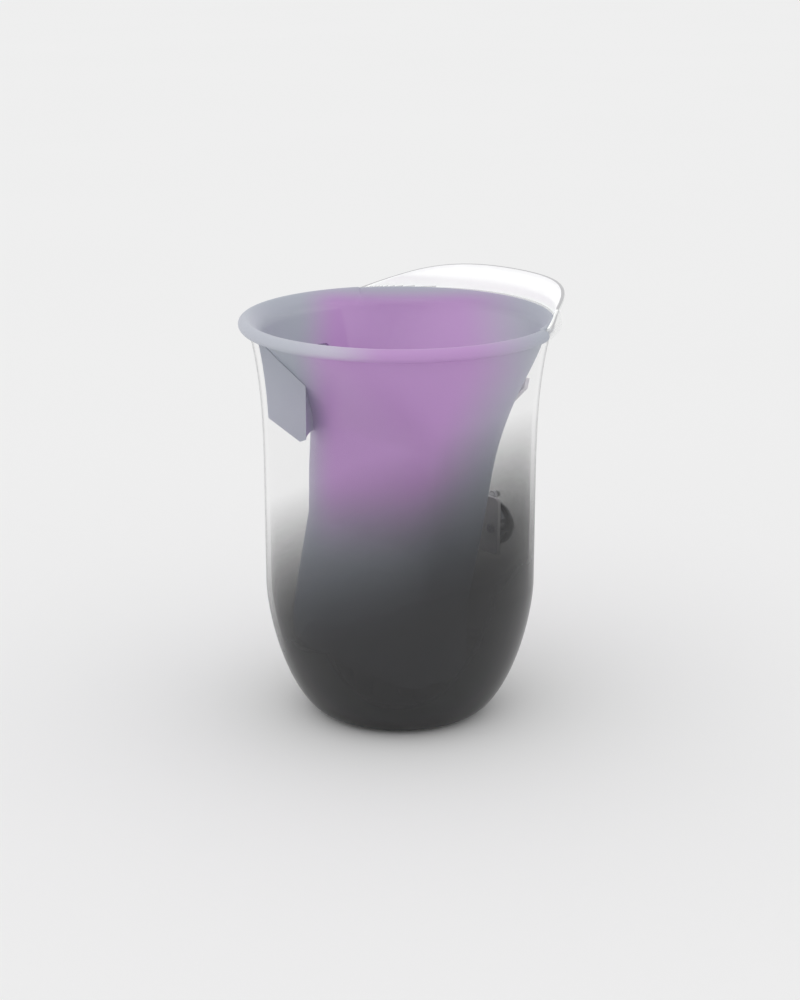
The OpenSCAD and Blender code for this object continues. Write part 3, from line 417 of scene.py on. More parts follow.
# ---- Crest ----------------------------------------------------------------------------
# The vessel's own wall goes on above the lip round the back, bends out over the lip as
# a bead, narrows to a notch and flares to a free top edge with a soft rounding. It is
# moulded milky. Its free edge carries a painted grey shade line, and its inner face a
# painted glow.
lip_r, lip_mid_z, lip_low_z, crown_z = 65.3, 165.5, 162.5, 168.0
notch_r, notch_z, crest_in_r, crest_foot_r = 64.2, 171.5, 62.7, 61.15
crest_h, crest_half, crest_wall, edge_round, sunk = 10.5, 66, 1.9, 0.8, 0.6
bead_in_r, flare_out, flare_h = 61.2, 5.2, 7


def crest_outside(z):
    """Radius of the outer face: a quarter ellipse, a half cosine wave, then a power curve."""
    bead = bead_in_r + (lip_r - bead_in_r) * np.sqrt(
        np.clip(1 - ((lip_mid_z - z) / (lip_mid_z - lip_low_z)) ** 2, 0, 1))
    waist = notch_r + (lip_r - notch_r) * 0.5 * (
        1 + np.cos(np.pi * np.clip((z - lip_mid_z) / (notch_z - lip_mid_z), 0, 1)))
    flare = notch_r + flare_out * (np.clip(z - notch_z, 0, None) / flare_h) ** 1.3
    return np.where(z < lip_mid_z, bead, np.where(z < notch_z, waist, flare))


def crest_inside(z):
    """Radius of the inner face: upright to the notch, then one wall in from the outer."""
    return np.where(z > notch_z, np.maximum(crest_in_r, crest_outside(z) - crest_wall), crest_in_r)


def crest_top(share):
    """Height of the free edge at a share of the half width: an arch of the fourth power."""
    return crown_z - sunk + (crest_h + sunk) * (1 - share ** 4)


def milky(name, painted_glow, starts):
    """White see-through plastic from height starts up; painted_glow is a painted glow on its face.

    The painted glow is whiter near the lip and greyer a little higher up.
    """
    made = Finish(name)
    z = made.axes()[2]
    cloud, above = made.noise(0.025, 2), z.ramp(starts, starts + 0.003)
    made.surface(
        Base_Color=made.blend(cloud, (0.88, 0.89, 0.88), (0.90, 0.91, 0.90)),
        Alpha=0.12 + (0.68 + 0.06 * cloud) * above, Roughness=0.2 + 0.05 * cloud,
        Emission_Color=made.blend(z.ramp(0.169, 0.175), (0.98, 1.0, 0.93), (0.83, 0.83, 0.83)),
        Emission_Strength=painted_glow,
        Normal=made.bump(cloud, 0.0001, 0.2), IOR=1.49)
    return made


crest_out = milky("milky_crest", 0.0, 0.1665)
# The inner face carries a painted glow, the light that its shaded place inside doesn't get.
crest_in_painted_glow = milky("milky_crest_painted_glow_face", 0.36, 0.1645)
# Painted shade: a grey line along the free edge, where the clear edge looks darker.
edge_shade_line = Finish("painted_shade_crest_edge")
cloud = edge_shade_line.noise(0.01, 2)
edge_shade_line.surface(Base_Color=edge_shade_line.blend(cloud, (0.50, 0.50, 0.51), (0.56, 0.56, 0.57)),
                 Roughness=0.3, Normal=edge_shade_line.bump(cloud, 0.0001, 0.2))

# Its section, at 200 places round the back: out over the bead, up the outer face, round
# over the free edge and down the inner face
around = np.radians(np.linspace(-crest_half, crest_half, 200))
half_wide = math.sin(math.radians(crest_half))
top = crest_top(np.clip(np.sin(around) / half_wide, -1, 1))
climb = np.linspace(0, 1, 16)[:, None]
out_z = np.concatenate([
    lip_low_z + (lip_mid_z - lip_low_z) * (1 - np.cos(np.linspace(0, np.pi / 2, 10)))[:, None]
    + 0 * top, lip_mid_z + (top - edge_round - lip_mid_z) * climb[1:]])
in_z = rim_z + (top - edge_round - rim_z) * climb[::-1]
out_r, in_r = crest_outside(out_z), crest_inside(in_z)
over = np.linspace(0, np.pi, 9)[1:-1, None]
section = np.concatenate([
    np.stack([out_r, out_z], -1),
    np.stack([(out_r[-1] + in_r[0]) / 2 + (out_r[-1] - in_r[0]) / 2 * np.cos(over),
              top - edge_round + edge_round * np.sin(over)], -1),
    np.stack([in_r, in_z], -1), np.stack([crest_foot_r + 0 * top, rim_z + 0 * top], -1)[None]])
crest_grid = np.stack([section[..., 0] * np.sin(around), section[..., 0] * np.cos(around),
                       section[..., 1]], -1).transpose(1, 0, 2)
crest = piece(weave("crest", crest_grid, caps=True), crest_out, stands_for=["outer_shell"],
              crease=50)
crest.data.materials.append(edge_shade_line.material)
crest.data.materials.append(crest_in_painted_glow.material)

# The painted grey shade line lies over the free edge, and down the outer corner at the right
# end, where the edge turns steep. The faces that look inwards above the lip take the inner
# finish with its painted glow.
middle = face_middles(crest)
middle_r, middle_z = np.hypot(middle[:, 0], middle[:, 1]), middle[:, 2]
share = middle[:, 0] / middle_r / half_wide
below, deep = crest_top(share) - middle_z, crest_outside(middle_z) - middle_r
at_edge = (middle_z > crown_z - 1) & np.where(
    share < 0.85, below < 0.25, (below < 0.9) & (deep < 0.35))
looks_in = (deep >= 1.0) & (middle_z > crown_z)
crest.data.polygons.foreach_set("material_index", np.where(
    at_edge, 1, np.where(looks_in, 2, 0)).astype(np.int32))

# ---- Inner cup ------------------------------------------------------------------------
# A frosted grey cup, blow-moulded thin. Its pocket is nearly a box that leans back, and
# opens into a round flare with a rolled lip. The lamp's ultraviolet light is painted on its
# middle in violet.
pocket_x, pocket_back, pocket_front, pocket_z, liner = 41.5, 5.8, 20.8, 22, 2
pocket_floor_z, foot_round, floor_round, pocket_power = 24.4, 8, 6, 6
lean_angle, lean_z, front_lean_z, front_foot_z = 14.5, 54, 80, 37
lean, front_lean = math.tan(math.radians(lean_angle)), math.tan(math.radians(12.4))
flare_z, front_flare_z, flare_top_z, flare_power, front_power = 98, 120, 162.0, 2.9, 1.6
flare_top_r = float(vessel_inside(np.array(rim_z))) - 0.4
slot_out_r, slot_top_z, crown_r, trim_r, trim_round = 61.5, 164.6, 62.6, 62.4, 1.5


def mix(a, b, t):
    """From a to b while t goes from 0 to 1."""
    return a + (b - a) * t


def part_way(z, low, high):
    """How far z has come from low to high, from 0 to 1."""
    return np.clip((z - low) / (high - low), 0, 1)


def cup_shape(z):
    """Half width, back, front and superellipse power of the cup's outer skin at height z.

    The back and the front lean out on straight lines, and all of them run into the circle
    under the lip with powers of the height in the flare.
    """
    opening = part_way(z, flare_z, flare_top_z) ** flare_power
    back = mix(pocket_back + lean * np.clip(z - lean_z, 0, None), flare_top_r, opening)
    leant = front_lean * np.clip(front_lean_z - np.maximum(z, front_foot_z), 0, None)
    front = mix(-pocket_front - leant, -flare_top_r,
                part_way(z, front_flare_z, flare_top_z) ** front_power)
    return mix(pocket_x, flare_top_r, opening), back, front, mix(pocket_power, 2, opening ** 0.4)


def cup_slope(z):
    """How much the half width grows over the last millimetre up to z."""
    return cup_shape(z)[0] - cup_shape(z - 1)[0]


def round_in(z, low, r):
    """How far a rounded foot draws the skin in, from r at its lowest level to nothing."""
    return np.where(z < low + r, r - np.sqrt(np.clip(r * r - (low + r - z) ** 2, 0, None)), 0)


def skin(z, a, inset):
    """Points of the skin: signed powers of cosine and sine make the superellipse ring."""
    half_x, back, front, power = cup_shape(z)
    across, along = np.cos(a), np.sin(a)
    across, along = (np.sign(v) * np.abs(v) ** (2 / power) for v in (across, along))
    return np.stack([(half_x - inset) * across,
                     (back + front) / 2 + ((back - front) / 2 - inset) * along, z + 0 * a], -1)


# The painted violet light fades out towards the left, the right (further right higher up),
# the smoked foot and the far rim. A painted highlight makes the lip paler along its front
# left, and the lip's painted violet is a little darker as painted shade.
frosted = Finish("frosted_plastic")
aside, near, z = shown_side(frosted)
level = tilted(frosted, 0, 0.306)
right_edge = 0.43 * (level.least(0.142) - 0.116)
lit = (aside.ramp(-0.044, -0.026) * (aside - right_edge).ramp(0.046, 0.012)
       * level.ramp(0.060, 0.100) * level.ramp(0.1875, 0.1780))
# Painted highlight: the lip is paler along its front left.
on_lip, lip_highlight_band = z.ramp(0.1615, 0.1655), aside.ramp(-0.004, -0.030) * near.ramp(-0.030, 0.010)
cloud, grain = frosted.noise(0.03, 2), frosted.noise(0.0005, 2)
grey = frosted.blend(cloud, (0.350, 0.378, 0.430), (0.375, 0.400, 0.450))
violet = frosted.blend(cloud, (0.445, 0.260, 0.515), (0.475, 0.285, 0.545))
# The lip's violet is a little darker than the cup's: painted shade for the light on its upturned
# crown.
lip_plain_grey = frosted.blend(lit, (0.360, 0.382, 0.435), (0.420, 0.250, 0.485))
lip_tone_and_highlight = frosted.blend(lip_highlight_band, lip_plain_grey, (0.46, 0.475, 0.53))
# A faint painted glow over the whole cup brightens it, and is violet where the light is painted.
frosted.surface(
    Base_Color=frosted.blend(on_lip, frosted.blend(lit, grey, violet), lip_tone_and_highlight),
    Roughness=0.42 + 0.08 * grain, Alpha=0.80 + 0.18 * on_lip,
    Emission_Color=frosted.blend(lit, (0.36, 0.39, 0.45), (0.52, 0.26, 0.60)),
    Emission_Strength=0.15, Normal=frosted.bump(grain, 0.00001, 0.1))


def in_wall(z):
    """How far the inner skin lies in from the outer: one wall square to the slope."""
    return liner * np.hypot(1, cup_slope(z)) + round_in(z, pocket_floor_z, floor_round)


# 90 columns lie under the crest and 150 round the rest, where the lip is full
edge_of_crest, full_columns, straight_z = crest_half + 0.35, 150, 32
cup_angles = np.radians(np.concatenate([
    np.linspace(90 - edge_of_crest, 90 + edge_of_crest, 90),
    np.linspace(90 + edge_of_crest + 0.5, 450 - edge_of_crest - 0.5, full_columns)]))
under_crest = np.arange(cup_angles.size) < cup_angles.size - full_columns
ease = 1 - np.cos(np.linspace(0, np.pi / 2, 9))
rise_levels = mix(flare_z, flare_top_z, np.linspace(0, 1, 40) ** 0.75)
out_levels = np.concatenate([pocket_z + foot_round * ease, np.linspace(straight_z, flare_z, 30),
                             rise_levels[1:]])
in_levels = np.concatenate([rise_levels[::-1], np.linspace(flare_z, straight_z, 30)[1:],
                            pocket_floor_z + floor_round * ease[::-1]])
outer = skin(out_levels[:, None], cup_angles, round_in(out_levels, pocket_z, foot_round)[:, None])
inner = skin(in_levels[:, None], cup_angles, in_wall(in_levels)[:, None])

top_in_r = flare_top_r - float(in_wall(np.array(flare_top_z)))
bend_r = top_in_r + float(cup_slope(np.array(flare_top_z))) * (crown_z - flare_top_z)


def lip_inside(r):
    """From the crown at radius r, a bend of second degree down into the flare."""
    s = np.linspace(0, 1, 12)[1:-1]
    return np.stack([r * (1 - s) ** 2 + min(r - 1, bend_r) * 2 * s * (1 - s) + top_in_r * s * s,
                     crown_z * (1 - s * s) + flare_top_z * s * s], -1)


# The full lip is a roll of two quarter ellipses, and under the crest it is a rounded trim.
# Both start in the slot that takes the vessel's rim.
t = np.linspace(0, np.pi / 2, 12)
slot = [[flare_top_r, slot_top_z], [slot_out_r, slot_top_z]]
lip_full = np.concatenate([
    slot,
    np.stack([mix(slot_out_r, lip_r, np.sin(t)), mix(lip_mid_z, lip_low_z, np.cos(t))], -1),
    np.stack([mix(crown_r, lip_r, np.cos(t)), mix(lip_mid_z, crown_z, np.sin(t))], -1)[1:],
    lip_inside(crown_r)])
lip_under = np.concatenate([
    slot,
    np.stack([mix(slot_out_r, trim_r, np.linspace(0.1, 1, 12)), slot_top_z + 0 * t], -1),
    np.stack([trim_r - trim_round + trim_round * np.cos(t),
              crown_z - trim_round + trim_round * np.sin(t)], -1)[1:],
    lip_inside(trim_r - trim_round)])
lip = np.where(under_crest[None, :, None], lip_under[:, None, :], lip_full[:, None, :])
lip_rings = np.stack([lip[..., 0] * np.cos(cup_angles), lip[..., 0] * np.sin(cup_angles),
                      lip[..., 1]], -1)
cup = piece(weave("frosted_cup", np.concatenate([outer, lip_rings, inner]), caps=True), frosted,
            stands_for=["inner_cup"], crease=40)

# The lamp's window goes through the wall square to it, at the left and a little behind
lamp_z, lamp_a, step, window_w, window_h, window_corner = (
    137.5, math.radians(190), math.radians(1), 12.4, 22.4, 1.7)


def ring_point(z, a):
    """The skin's point in direction a from its ring's own middle."""
    half_x, back, front, power = cup_shape(np.array(float(z)))
    r = ((abs(math.cos(a)) / half_x) ** power
         + (abs(math.sin(a)) / ((back - front) / 2)) ** power) ** (-1 / power)
    return np.array([r * math.cos(a), (back + front) / 2 + r * math.sin(a), z])


lamp_at = ring_point(lamp_z, lamp_a)
lamp_out = np.cross(ring_point(lamp_z, lamp_a + step) - ring_point(lamp_z, lamp_a - step),
                    ring_point(lamp_z + 1, lamp_a) - ring_point(lamp_z - 1, lamp_a))
lamp_out /= np.linalg.norm(lamp_out)
lamp_side = np.cross([0, 0, 1], -lamp_out)
lamp_side /= np.linalg.norm(lamp_side)
lamp_up = np.cross(-lamp_out, lamp_side)
window = rounded_box(window_w, window_h, window_corner)
window_tool = np.stack([
    lamp_at - depth * lamp_out + window[:, :1] * lamp_side + window[:, 1:] * lamp_up
    for depth in (-10, 10)])
bored(cup, window_tool)

# ---- Base cover and foot --------------------------------------------------------------
# A moulded disc closes the vessel from below, held by three screws. A silicone ring with
# rounded edges is pressed into its groove and stands on the table.
def dress(finish, *nodes):
    """Gives solids that come straight from the drawings their finish."""
    for node in nodes:
        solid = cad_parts[node]
        solid.data.materials.clear()
        solid.data.materials.append(finish.material)


def rubber(name, dark, light, shine=0.62):
    """Matte silicone: two close tones in fine specks, with a skin of tiny pits."""
    made = Finish(name)
    specks = made.noise(0.0006, 3)
    made.surface(Base_Color=made.blend(specks, dark, light), Roughness=shine + 0.12 * specks,
                 Normal=made.bump(specks, 0.00005, 0.4))
    return made


def moulded(name, dark, light, size=0.0004):
    """Spark-eroded moulded plastic: an even fine grain under faint cloudy flow."""
    made = Finish(name)
    grain, flow = made.noise(size, 3), made.noise(0.012, 2)
    made.surface(Base_Color=made.blend(0.5 * grain + 0.5 * flow, dark, light),
                 Roughness=0.42 + 0.16 * grain, Normal=made.bump(grain, 0.00004, 0.35))
    return made


def metal(name, dark, light, stretch, shine):
    """Bare metal with fine drawn lines: noise pulled long one way, in colour and gloss."""
    made = Finish(name)
    lines, stain = made.noise(0.0009, 4, stretch), made.noise(0.006, 2)
    made.surface(Base_Color=made.blend(0.6 * lines + 0.4 * stain, dark, light), Metallic=1.0,
                 Roughness=shine + 0.18 * lines, Normal=made.bump(lines, 0.00002, 0.3))
    return made


dark_rubber = rubber("dark_silicone", (0.040, 0.040, 0.043), (0.060, 0.060, 0.065))
black_plastic = moulded("black_plastic", (0.022, 0.022, 0.024), (0.040, 0.040, 0.044))
screw_metal = metal("zinc_plated_screws", (0.47, 0.48, 0.50), (0.62, 0.63, 0.65), (1, 1, 1), 0.28)
ring_out_r, ring_in_r, ring_h, ring_round, ring_edge = 29.6, 26.0, 2.0, 0.5, 0.15
q = np.linspace(0, np.pi / 2, 6)
foot_outline = np.concatenate([
    np.stack([ring_out_r - ring_round + ring_round * np.cos(q[::-1]),
              ring_round - ring_round * np.sin(q[::-1])], -1),
    [[ring_out_r, ring_h - ring_edge], [ring_out_r - ring_edge, ring_h],
     [ring_in_r + ring_edge, ring_h], [ring_in_r, ring_h - ring_edge]],
    np.stack([ring_in_r + ring_round - ring_round * np.cos(q),
              ring_round - ring_round * np.sin(q)], -1),
    # two shallow grooves under the ring, which grip the table
    [[27.0, 0.0], [27.2, 0.25], [27.6, 0.25], [27.8, 0.0], [28.3, 0.0], [28.5, 0.25], [28.7, 0.0]]])
piece(weave("silicone_foot", turned(foot_outline, 160), wrap=(True, True)), dark_rubber,
      stands_for=["foot_ring"])
dress(black_plastic, "bottom_cover")
dress(screw_metal, "cover_screws")

# ---- Chassis and ballast --------------------------------------------------------------
# Inside the foot, a grey moulded chassis carries everything. A zinc-plated steel plate
# lies on it to keep the cup steady, and screws pull the pocket's base down onto it.
grey_plastic = moulded("grey_plastic", (0.19, 0.20, 0.22), (0.25, 0.26, 0.28))
rolled = metal("rolled_steel", (0.34, 0.35, 0.37), (0.48, 0.49, 0.51), (0.06, 1, 1), 0.34)
dress(grey_plastic, "chassis", "pocket_base")
dress(rolled, "ballast_plate")
dress(screw_metal, "cup_screws")

# ---- Main board -----------------------------------------------------------------------
# A green glass-fibre board on three posts, with tracks under its solder mask. It carries
# black chips, a wound power coil, two aluminium capacitors and three white plugs.
mask = Finish("solder_mask")
cells = mask.node("TexVoronoi", {"distance": "MANHATTAN", "feature": "F1"},
                  {"Vector": mask.place(), "Scale": 420, "Randomness": 0.7}, out="Distance")
tracks = cells.ramp(0.48, 0.52) * cells.ramp(0.66, 0.62)
weave_of_glass = mask.noise(0.0005, 2)
laminate = mask.blend(weave_of_glass, (0.012, 0.095, 0.045), (0.018, 0.125, 0.060))
mask.surface(
    Base_Color=mask.blend(tracks, laminate, (0.045, 0.24, 0.11)),
    Roughness=0.30 + 0.15 * weave_of_glass, Normal=mask.bump(tracks, 0.00004, 0.5))
chip_black = moulded("chip_epoxy", (0.016, 0.016, 0.017), (0.030, 0.030, 0.031), 0.0002)
ferrite = moulded("sintered_ferrite", (0.036, 0.033, 0.031), (0.062, 0.056, 0.052), 0.0007)
ivory = moulded("ivory_plastic", (0.72, 0.69, 0.60), (0.80, 0.77, 0.68))
dress(mask, "main_board")
dress(screw_metal, "board_screws")
dress(chip_black, "control_chips")
dress(ferrite, "power_coil")
dress(ivory, "board_connectors")

# A dark half-moon on each can's top marks its minus side: it starts 1.5 mm past the middle
can = Finish("capacitor_can")
x, _, z = can.axes()
drawn = can.noise(0.0007, 3, (1, 1, 0.1))
moon = z.ramp(0.02205, 0.02215) * (
    (x - 0.0145).ramp(0, 0.0002) * x.ramp(0.0170, 0.0169) + (x - 0.0225).ramp(0, 0.0002)).least(1)
bare = can.blend(drawn, (0.72, 0.73, 0.74), (0.82, 0.83, 0.84))
can.surface(Base_Color=can.blend(moon, bare, (0.03, 0.03, 0.03)),
            Metallic=1 - moon, Roughness=0.25 + 0.15 * drawn, Normal=can.bump(drawn, 0.00002, 0.3))
board_top, can_r, can_h, can_round = 14.6, 3.15, 7.7, 0.5
can_outline = np.concatenate([
    # the foot, then the groove that the can is crimped into round its seal
    [[can_r - 0.15, 0.0], [can_r, 0.15], [can_r, 1.3], [2.9, 1.5], [2.9, 1.9], [can_r, 2.1]],
    np.stack([can_r - can_round + can_round * np.cos(q),
              can_h - can_round + can_round * np.sin(q)], -1),
    [[2.45, can_h - 0.08], [0.2, can_h - 0.08]]])
cans = [turned(can_outline + [0, board_top], 48) + [can_x, can_y, 0]
        for can_x, can_y in [(13, 30), (21, 26.5)]]
piece(weave("capacitor_cans", *cans, caps=True), can, stands_for=["capacitors"])

# ---- Charging socket ------------------------------------------------------------------
# A stamped steel shell with a black tongue, soldered to the board's rear tab. It looks
# out through a black bezel, whose recess takes a plug's overmould.
socket = Finish("socket_steel")
x, y, z = socket.axes()
off_side, off_middle = (x * x) ** 0.5, ((z - port_z * MM) ** 2) ** 0.5
tongue = (off_side.ramp(0.0036, 0.0035) * off_middle.ramp(0.0006, 0.0005)
          * y.ramp(0.0388, 0.0389))
drawn = socket.noise(0.0008, 3, (1, 0.08, 1))
stamped = socket.blend(drawn, (0.50, 0.51, 0.53), (0.62, 0.63, 0.65))
socket.surface(Base_Color=socket.blend(tongue, stamped, (0.02, 0.02, 0.02)), Metallic=1 - tongue,
               Roughness=0.24 + 0.15 * drawn, Normal=socket.bump(drawn, 0.00002, 0.3))
dress(socket, "usb_socket")
dress(black_plastic, "usb_bezel")

# ---- Button and its switch ------------------------------------------------------------
# A dished grey cap slides in an anodised ring set into a flat of the vessel's back. It
# presses a small switch on its own board, held by two screws on bosses inside the wall.
def turned_y(outline, z, columns=96):
    """A turned shape about an axis along Y at height z; the outline is radius and y."""
    outline = np.asarray(outline, float)
    a = np.linspace(0, 2 * np.pi, columns, endpoint=False)
    r, y = outline[:, :1], outline[:, 1:]
    return np.stack([r * np.cos(a), y + 0 * a, z + r * np.sin(a)], -1)


anodised = metal("anodised_ring", (0.27, 0.28, 0.30), (0.40, 0.41, 0.43), (1, 0.2, 1), 0.30)
cap_back, cap_front, cap_r, cap_round, dish_r, dish_deep = 52.2, 57.2, 5.6, 0.5, 40, 0.3
dish = np.linspace(cap_r - cap_round - 0.5, 0.1, 12)
cap_outline = np.concatenate([
    # a flange at the back keeps the cap behind its ring
    [[0.1, cap_back], [6.15, cap_back], [6.3, cap_back + 0.15], [6.3, cap_back + 0.85],
     [6.15, cap_back + 1], [cap_r, cap_back + 1]],
    np.stack([cap_r - cap_round + cap_round * np.cos(q),
              cap_front - cap_round + cap_round * np.sin(q)], -1),
    np.stack([dish, cap_front - dish_deep + dish ** 2 / (2 * dish_r)], -1)])
piece(weave("dished_button", turned_y(cap_outline, button_z), caps=True), grey_plastic,
      body="button", stands_for=["button_cap"])
ring_outline = [[6.4, 50.8], [7.45, 50.8], [7.6, 50.95], [7.6, flat_y], [9.05, flat_y],
                [9.2, 55.35], [9.2, 56.2], [9.1, 56.45], [8.8, 56.6], [6.2, 56.6], [5.85, 56.45],
                [5.7, 56.15], [5.7, 53.3], [6.4, 53.3]]
piece(weave("button_ring", turned_y(ring_outline, button_z, 128), wrap=(True, True)),
      anodised, stands_for=["button_bezel"], crease=40)
white_mask = moulded("white_solder_mask", (0.74, 0.74, 0.74), (0.80, 0.80, 0.80), 0.0006)
dress(white_mask, "switch_board")
dress(screw_metal, "switch_board_screws")
dress(ivory, "switch_housing", "switch_stem", "switch_plunger")

# ---- Status light ---------------------------------------------------------------------
# A white lamp on the switch board shines into a clear rod, whose collar rests against
# the wall and whose domed end shows above the button.
rod = Finish("clear_light_rod")
streak = rod.noise(0.001, 2, (1, 0.2, 1))
rod.surface(Base_Color=rod.blend(streak, (0.80, 0.82, 0.84), (0.90, 0.91, 0.93)),
            Alpha=0.5 + 0.2 * streak, Roughness=0.08 + 0.06 * streak,
            Normal=rod.bump(streak, 0.00002, 0.2), IOR=1.49)
rod_r, rod_back, rod_front, collar_r = 1.2, 44.0, 55.7, 2.0
collar_y = float(vessel_inside(np.array(float(pipe_z)))) - 0.3
dome = np.linspace(0, np.pi / 2, 7)
rod_outline = np.concatenate([
    [[0.1, rod_back], [rod_r, rod_back], [rod_r, collar_y - 1.4], [collar_r - 0.1, collar_y - 1.4],
     [collar_r, collar_y - 1.3], [collar_r, collar_y - 0.1], [collar_r - 0.1, collar_y],
     [rod_r, collar_y]],
    np.stack([0.1 + (rod_r - 0.1) * np.cos(dome), rod_front + 0.4 * np.sin(dome)], -1)])
piece(weave("light_rod", turned_y(rod_outline, pipe_z, 32), caps=True), rod,
      stands_for=["light_pipe"])
dress(ivory, "status_led")

# ---- Lamp pod and lamp ----------------------------------------------------------------
# A frosted box bonded on under the flare. In it, four emitters on a white board sit behind
# a quartz window in a gasket, with a reflector round them and a finned plate behind.
quartz = Finish("quartz_window")
haze = quartz.noise(0.004, 2)
quartz.surface(Base_Color=quartz.blend(haze, (0.74, 0.68, 0.88), (0.84, 0.80, 0.95)),
               Alpha=0.35 + 0.1 * haze, Roughness=0.05 + 0.05 * haze,
               Normal=quartz.bump(haze, 0.00002, 0.2), IOR=1.46)
bright = metal("bright_aluminium", (0.70, 0.71, 0.72), (0.84, 0.85, 0.86), (1, 1, 0.15), 0.22)
white_board = moulded("white_board", (0.76, 0.76, 0.76), (0.84, 0.84, 0.84))
gold = Finish("emitter_ceramic")
speck = gold.noise(0.0005, 3)
gold.surface(Base_Color=gold.blend(speck, (0.72, 0.55, 0.20), (0.86, 0.68, 0.30)),
             Metallic=0.6 + 0.4 * speck, Roughness=0.3 + 0.2 * speck,
             Normal=gold.bump(speck, 0.00002, 0.4), Emission_Strength=0.6,
             Emission_Color=gold.blend(speck, (0.35, 0.12, 0.80), (0.55, 0.25, 1.0)))
# Painted light: the housing's grey is lighter than the cup's and glows faintly, for the light that
# the shell and the cup keep from it.
lamp_housing_painted_light = Finish("frosted_housing_painted_light")
cloud, grain = lamp_housing_painted_light.noise(0.03, 2), lamp_housing_painted_light.noise(0.0005, 2)
lamp_housing_painted_light.surface(
    Base_Color=lamp_housing_painted_light.blend(cloud, (0.455, 0.475, 0.535), (0.485, 0.505, 0.560)),
    Roughness=0.45 + 0.1 * grain, Normal=lamp_housing_painted_light.bump(grain, 0.00001, 0.2),
    Emission_Color=(0.36, 0.38, 0.44), Emission_Strength=0.10)
dress(lamp_housing_painted_light, "lamp_housing")
dress(quartz, "lamp_window")
pale_rubber = rubber("clear_silicone", (0.50, 0.50, 0.55), (0.60, 0.60, 0.65))
dress(pale_rubber, "window_gasket")
dress(bright, "lamp_reflector", "heat_spreader")
dress(gold, "uv_emitters")
dress(white_board, "lamp_board")
dress(screw_metal, "lamp_screws")

# ---- Rim seal -------------------------------------------------------------------------
# A flat silicone ring between the vessel's rim and the roof of the lip's slot.
dress(pale_rubber, "rim_seal")

# ---- Charging coil --------------------------------------------------------------------
# Enamelled copper wire wound flat on a ferrite disc, in a tray that is bonded behind the
# pocket's leaning wall. The tray's cover reaches up with two splayed arms under the flare.
def leaning(points):
    """From the coil's own frame to the cup's: turned back by the lean, at the lean's foot."""
    tip = math.radians(lean_angle)
    x, y, z = points[..., 0], points[..., 1], points[..., 2]
    return np.stack([x, pocket_back + y * math.cos(tip) + z * math.sin(tip),
                     lean_z - y * math.sin(tip) + z * math.cos(tip)], -1)


def tube(path, radius, sides=16, away=(1, 0.2, 0)):
    """A round wire along a path: circles square to it, steadied by one fixed direction."""
    along = np.gradient(path, axis=0)
    along /= np.linalg.norm(along, axis=1, keepdims=True)
    first = np.cross(along, away)
    first /= np.linalg.norm(first, axis=1, keepdims=True)
    second = np.cross(along, first)
    a = np.linspace(0, 2 * np.pi, sides, endpoint=False)[:, None]
    return path[:, None] + radius * (np.cos(a) * first[:, None] + np.sin(a) * second[:, None])


enamel = Finish("enamelled_copper")
shade = enamel.noise(0.0015, 3)
enamel.surface(Base_Color=enamel.blend(shade, (0.62, 0.24, 0.09), (0.80, 0.38, 0.17)),
               Metallic=0.9 - 0.2 * shade, Roughness=0.25 + 0.15 * shade,
               Normal=enamel.bump(shade, 0.00003, 0.3), Coat_Weight=0.5)
coil_turns, coil_in_r, coil_out_r, coil_y, coil_z, wire_r = 8, 9.66, 20.3, 1.75, 36, 0.64
turns = np.linspace(0, coil_turns * 2 * np.pi, coil_turns * 48)
winding_r = np.linspace(coil_in_r, coil_out_r, turns.size)
winding = np.stack([winding_r * np.cos(turns), coil_y + 0 * turns,
                    coil_z + winding_r * np.sin(turns)], -1)
coil_axis = leaning(np.array([0, 1.0, 0])) - leaning(np.zeros(3))
piece(weave("wound_coil", tube(leaning(winding), wire_r, 12, coil_axis), caps=True),
      enamel, stands_for=["charging_coil"])
dress(ferrite, "ferrite_plate")
dress(grey_plastic, "coil_tray")
milky_cover = Finish("milky_cover")
cloud, grain = milky_cover.noise(0.02, 2), milky_cover.noise(0.0005, 2)
milky_cover.surface(
    Base_Color=milky_cover.blend(cloud, (0.72, 0.69, 0.74), (0.78, 0.75, 0.80)),
    Alpha=0.62 + 0.08 * cloud, Roughness=0.45 + 0.1 * grain,
    Normal=milky_cover.bump(grain, 0.00001, 0.2))
dress(milky_cover, "coil_cover")
dress(screw_metal, "coil_screws")

# ---- Pads -----------------------------------------------------------------------------
# Two soft silicone pads, one where the phone leans and one where it stands, with edges
# rounded over and a fine ribbed face so that it doesn't slip.
def cushion(w, h, r, t, soft):
    """Rings of a flat pad: straight sides, then a quarter circle of radius soft onto its face."""
    turn_in = np.linspace(0, np.pi / 2, 6)
    insets = np.concatenate([[0], soft * (1 - np.cos(turn_in))])
    heights = np.concatenate([[0], t - soft + soft * np.sin(turn_in)])
    return np.stack([np.column_stack([rounded_box(w - 2 * i, h - 2 * i, r - i), np.full(32, high)])
                     for i, high in zip(insets, heights)])


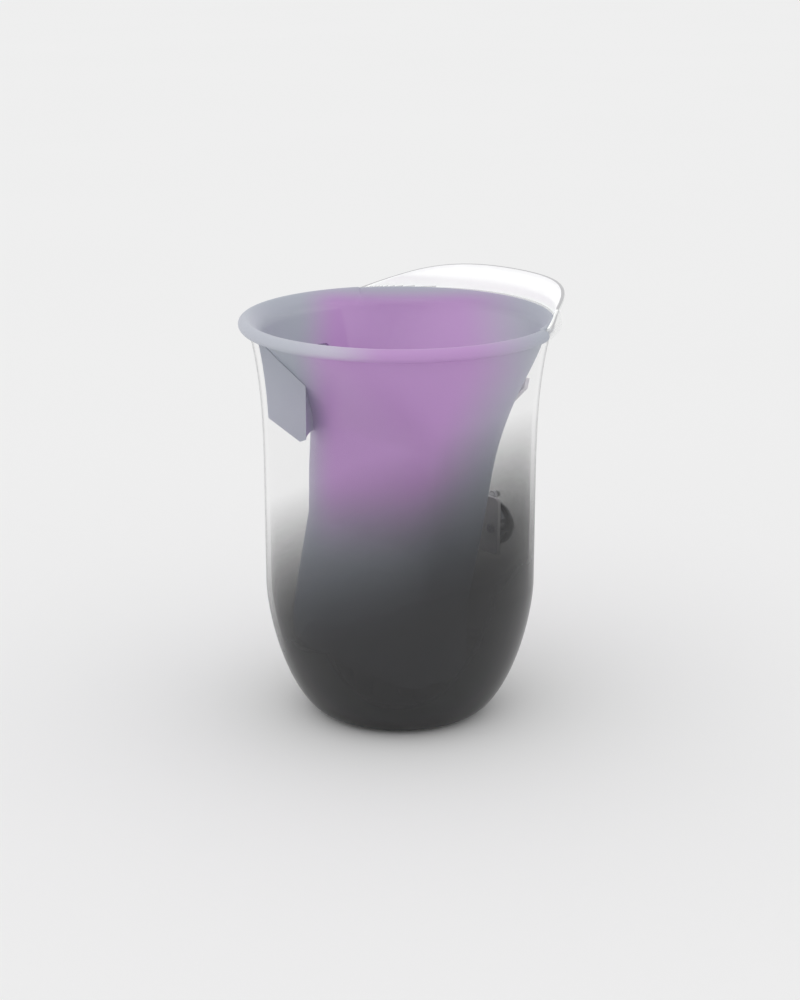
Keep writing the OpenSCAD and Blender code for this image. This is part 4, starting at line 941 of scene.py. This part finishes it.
ribbed = Finish("ribbed_silicone")
wave = ribbed.node("TexWave", {"bands_direction": "Z"},
                   {"Vector": ribbed.place(), "Scale": 160, "Distortion": 0}, out="Fac")
specks = ribbed.noise(0.0008, 3)
ribbed.surface(Base_Color=ribbed.blend(specks, (0.50, 0.50, 0.55), (0.60, 0.60, 0.65)),
               Roughness=0.6 + 0.1 * specks, Normal=ribbed.bump(wave, 0.0001, 0.4))
rest_back, floor_y, floor_pad_z = -2.04, -12.2, 24.5
rest = cushion(44, 60, 8, 1.0, 0.45)
rest = leaning(np.stack([rest[..., 0], rest_back - rest[..., 2], coil_z + rest[..., 1]], -1))
piece(weave("leaning_pad", rest, caps=True), ribbed, stands_for=["rest_pad"])
standing = cushion(58, 17, 5, 1.6, 0.6) + [0, floor_y, floor_pad_z]
piece(weave("standing_pad", standing, caps=True), ribbed, stands_for=["floor_pad"])

# ---- Wires inside ---------------------------------------------------------------------
# Three thin sheathed leads run from the lamp, the coil and the switch down to their
# plugs on the main board. Each lies on one smooth curve.
def through(points, steps=14):
    """A curve through all the points: on each span, a cubic of its four nearest points."""
    p = np.asarray(points, float)
    p = np.concatenate([p[:1], p, p[-1:]])
    t = np.linspace(0, 1, steps, endpoint=False)[:, None]
    spans = [0.5 * (2 * b + (c - a) * t + (2 * a - 5 * b + 4 * c - d) * t ** 2
                    + (3 * b - a - 3 * c + d) * t ** 3)
             for a, b, c, d in zip(p[:-3], p[1:-2], p[2:-1], p[3:])]
    return np.concatenate(spans + [p[-1:]])


sheath, lead_r = rubber("wire_sheath", (0.56, 0.56, 0.57), (0.64, 0.64, 0.65), 0.5), 1.0
for name, node, route in [
        ("lamp_lead", "lamp_cable", [
            (-45.6, -9.6, 124.6), (-45.7, -9.2, 119), (-46, -8, 112), (-47, -2, 96), (-47, 4, 76),
            (-46, 10, 56), (-42, 16, 40), (-33, 19, 29), (-24, 19, 23), (-23, 18.5, 18.0)]),
        ("coil_lead", "coil_cable", [
            (14, 10.4, 68), (14, 10, 62), (14, 11, 52), (16, 15, 38), (20, 18, 27),
            (23, 18.5, 18.0)]),
        ("switch_lead", "switch_cable", [
            (-6, 41.5, 63), (-6, 38, 62.5), (-5, 35.5, 56), (-3, 34, 42), (1, 32, 26),
            (2, 31, 18.0)])]:
    piece(weave(name, tube(through(route), lead_r), caps=True), sheath, stands_for=[node])
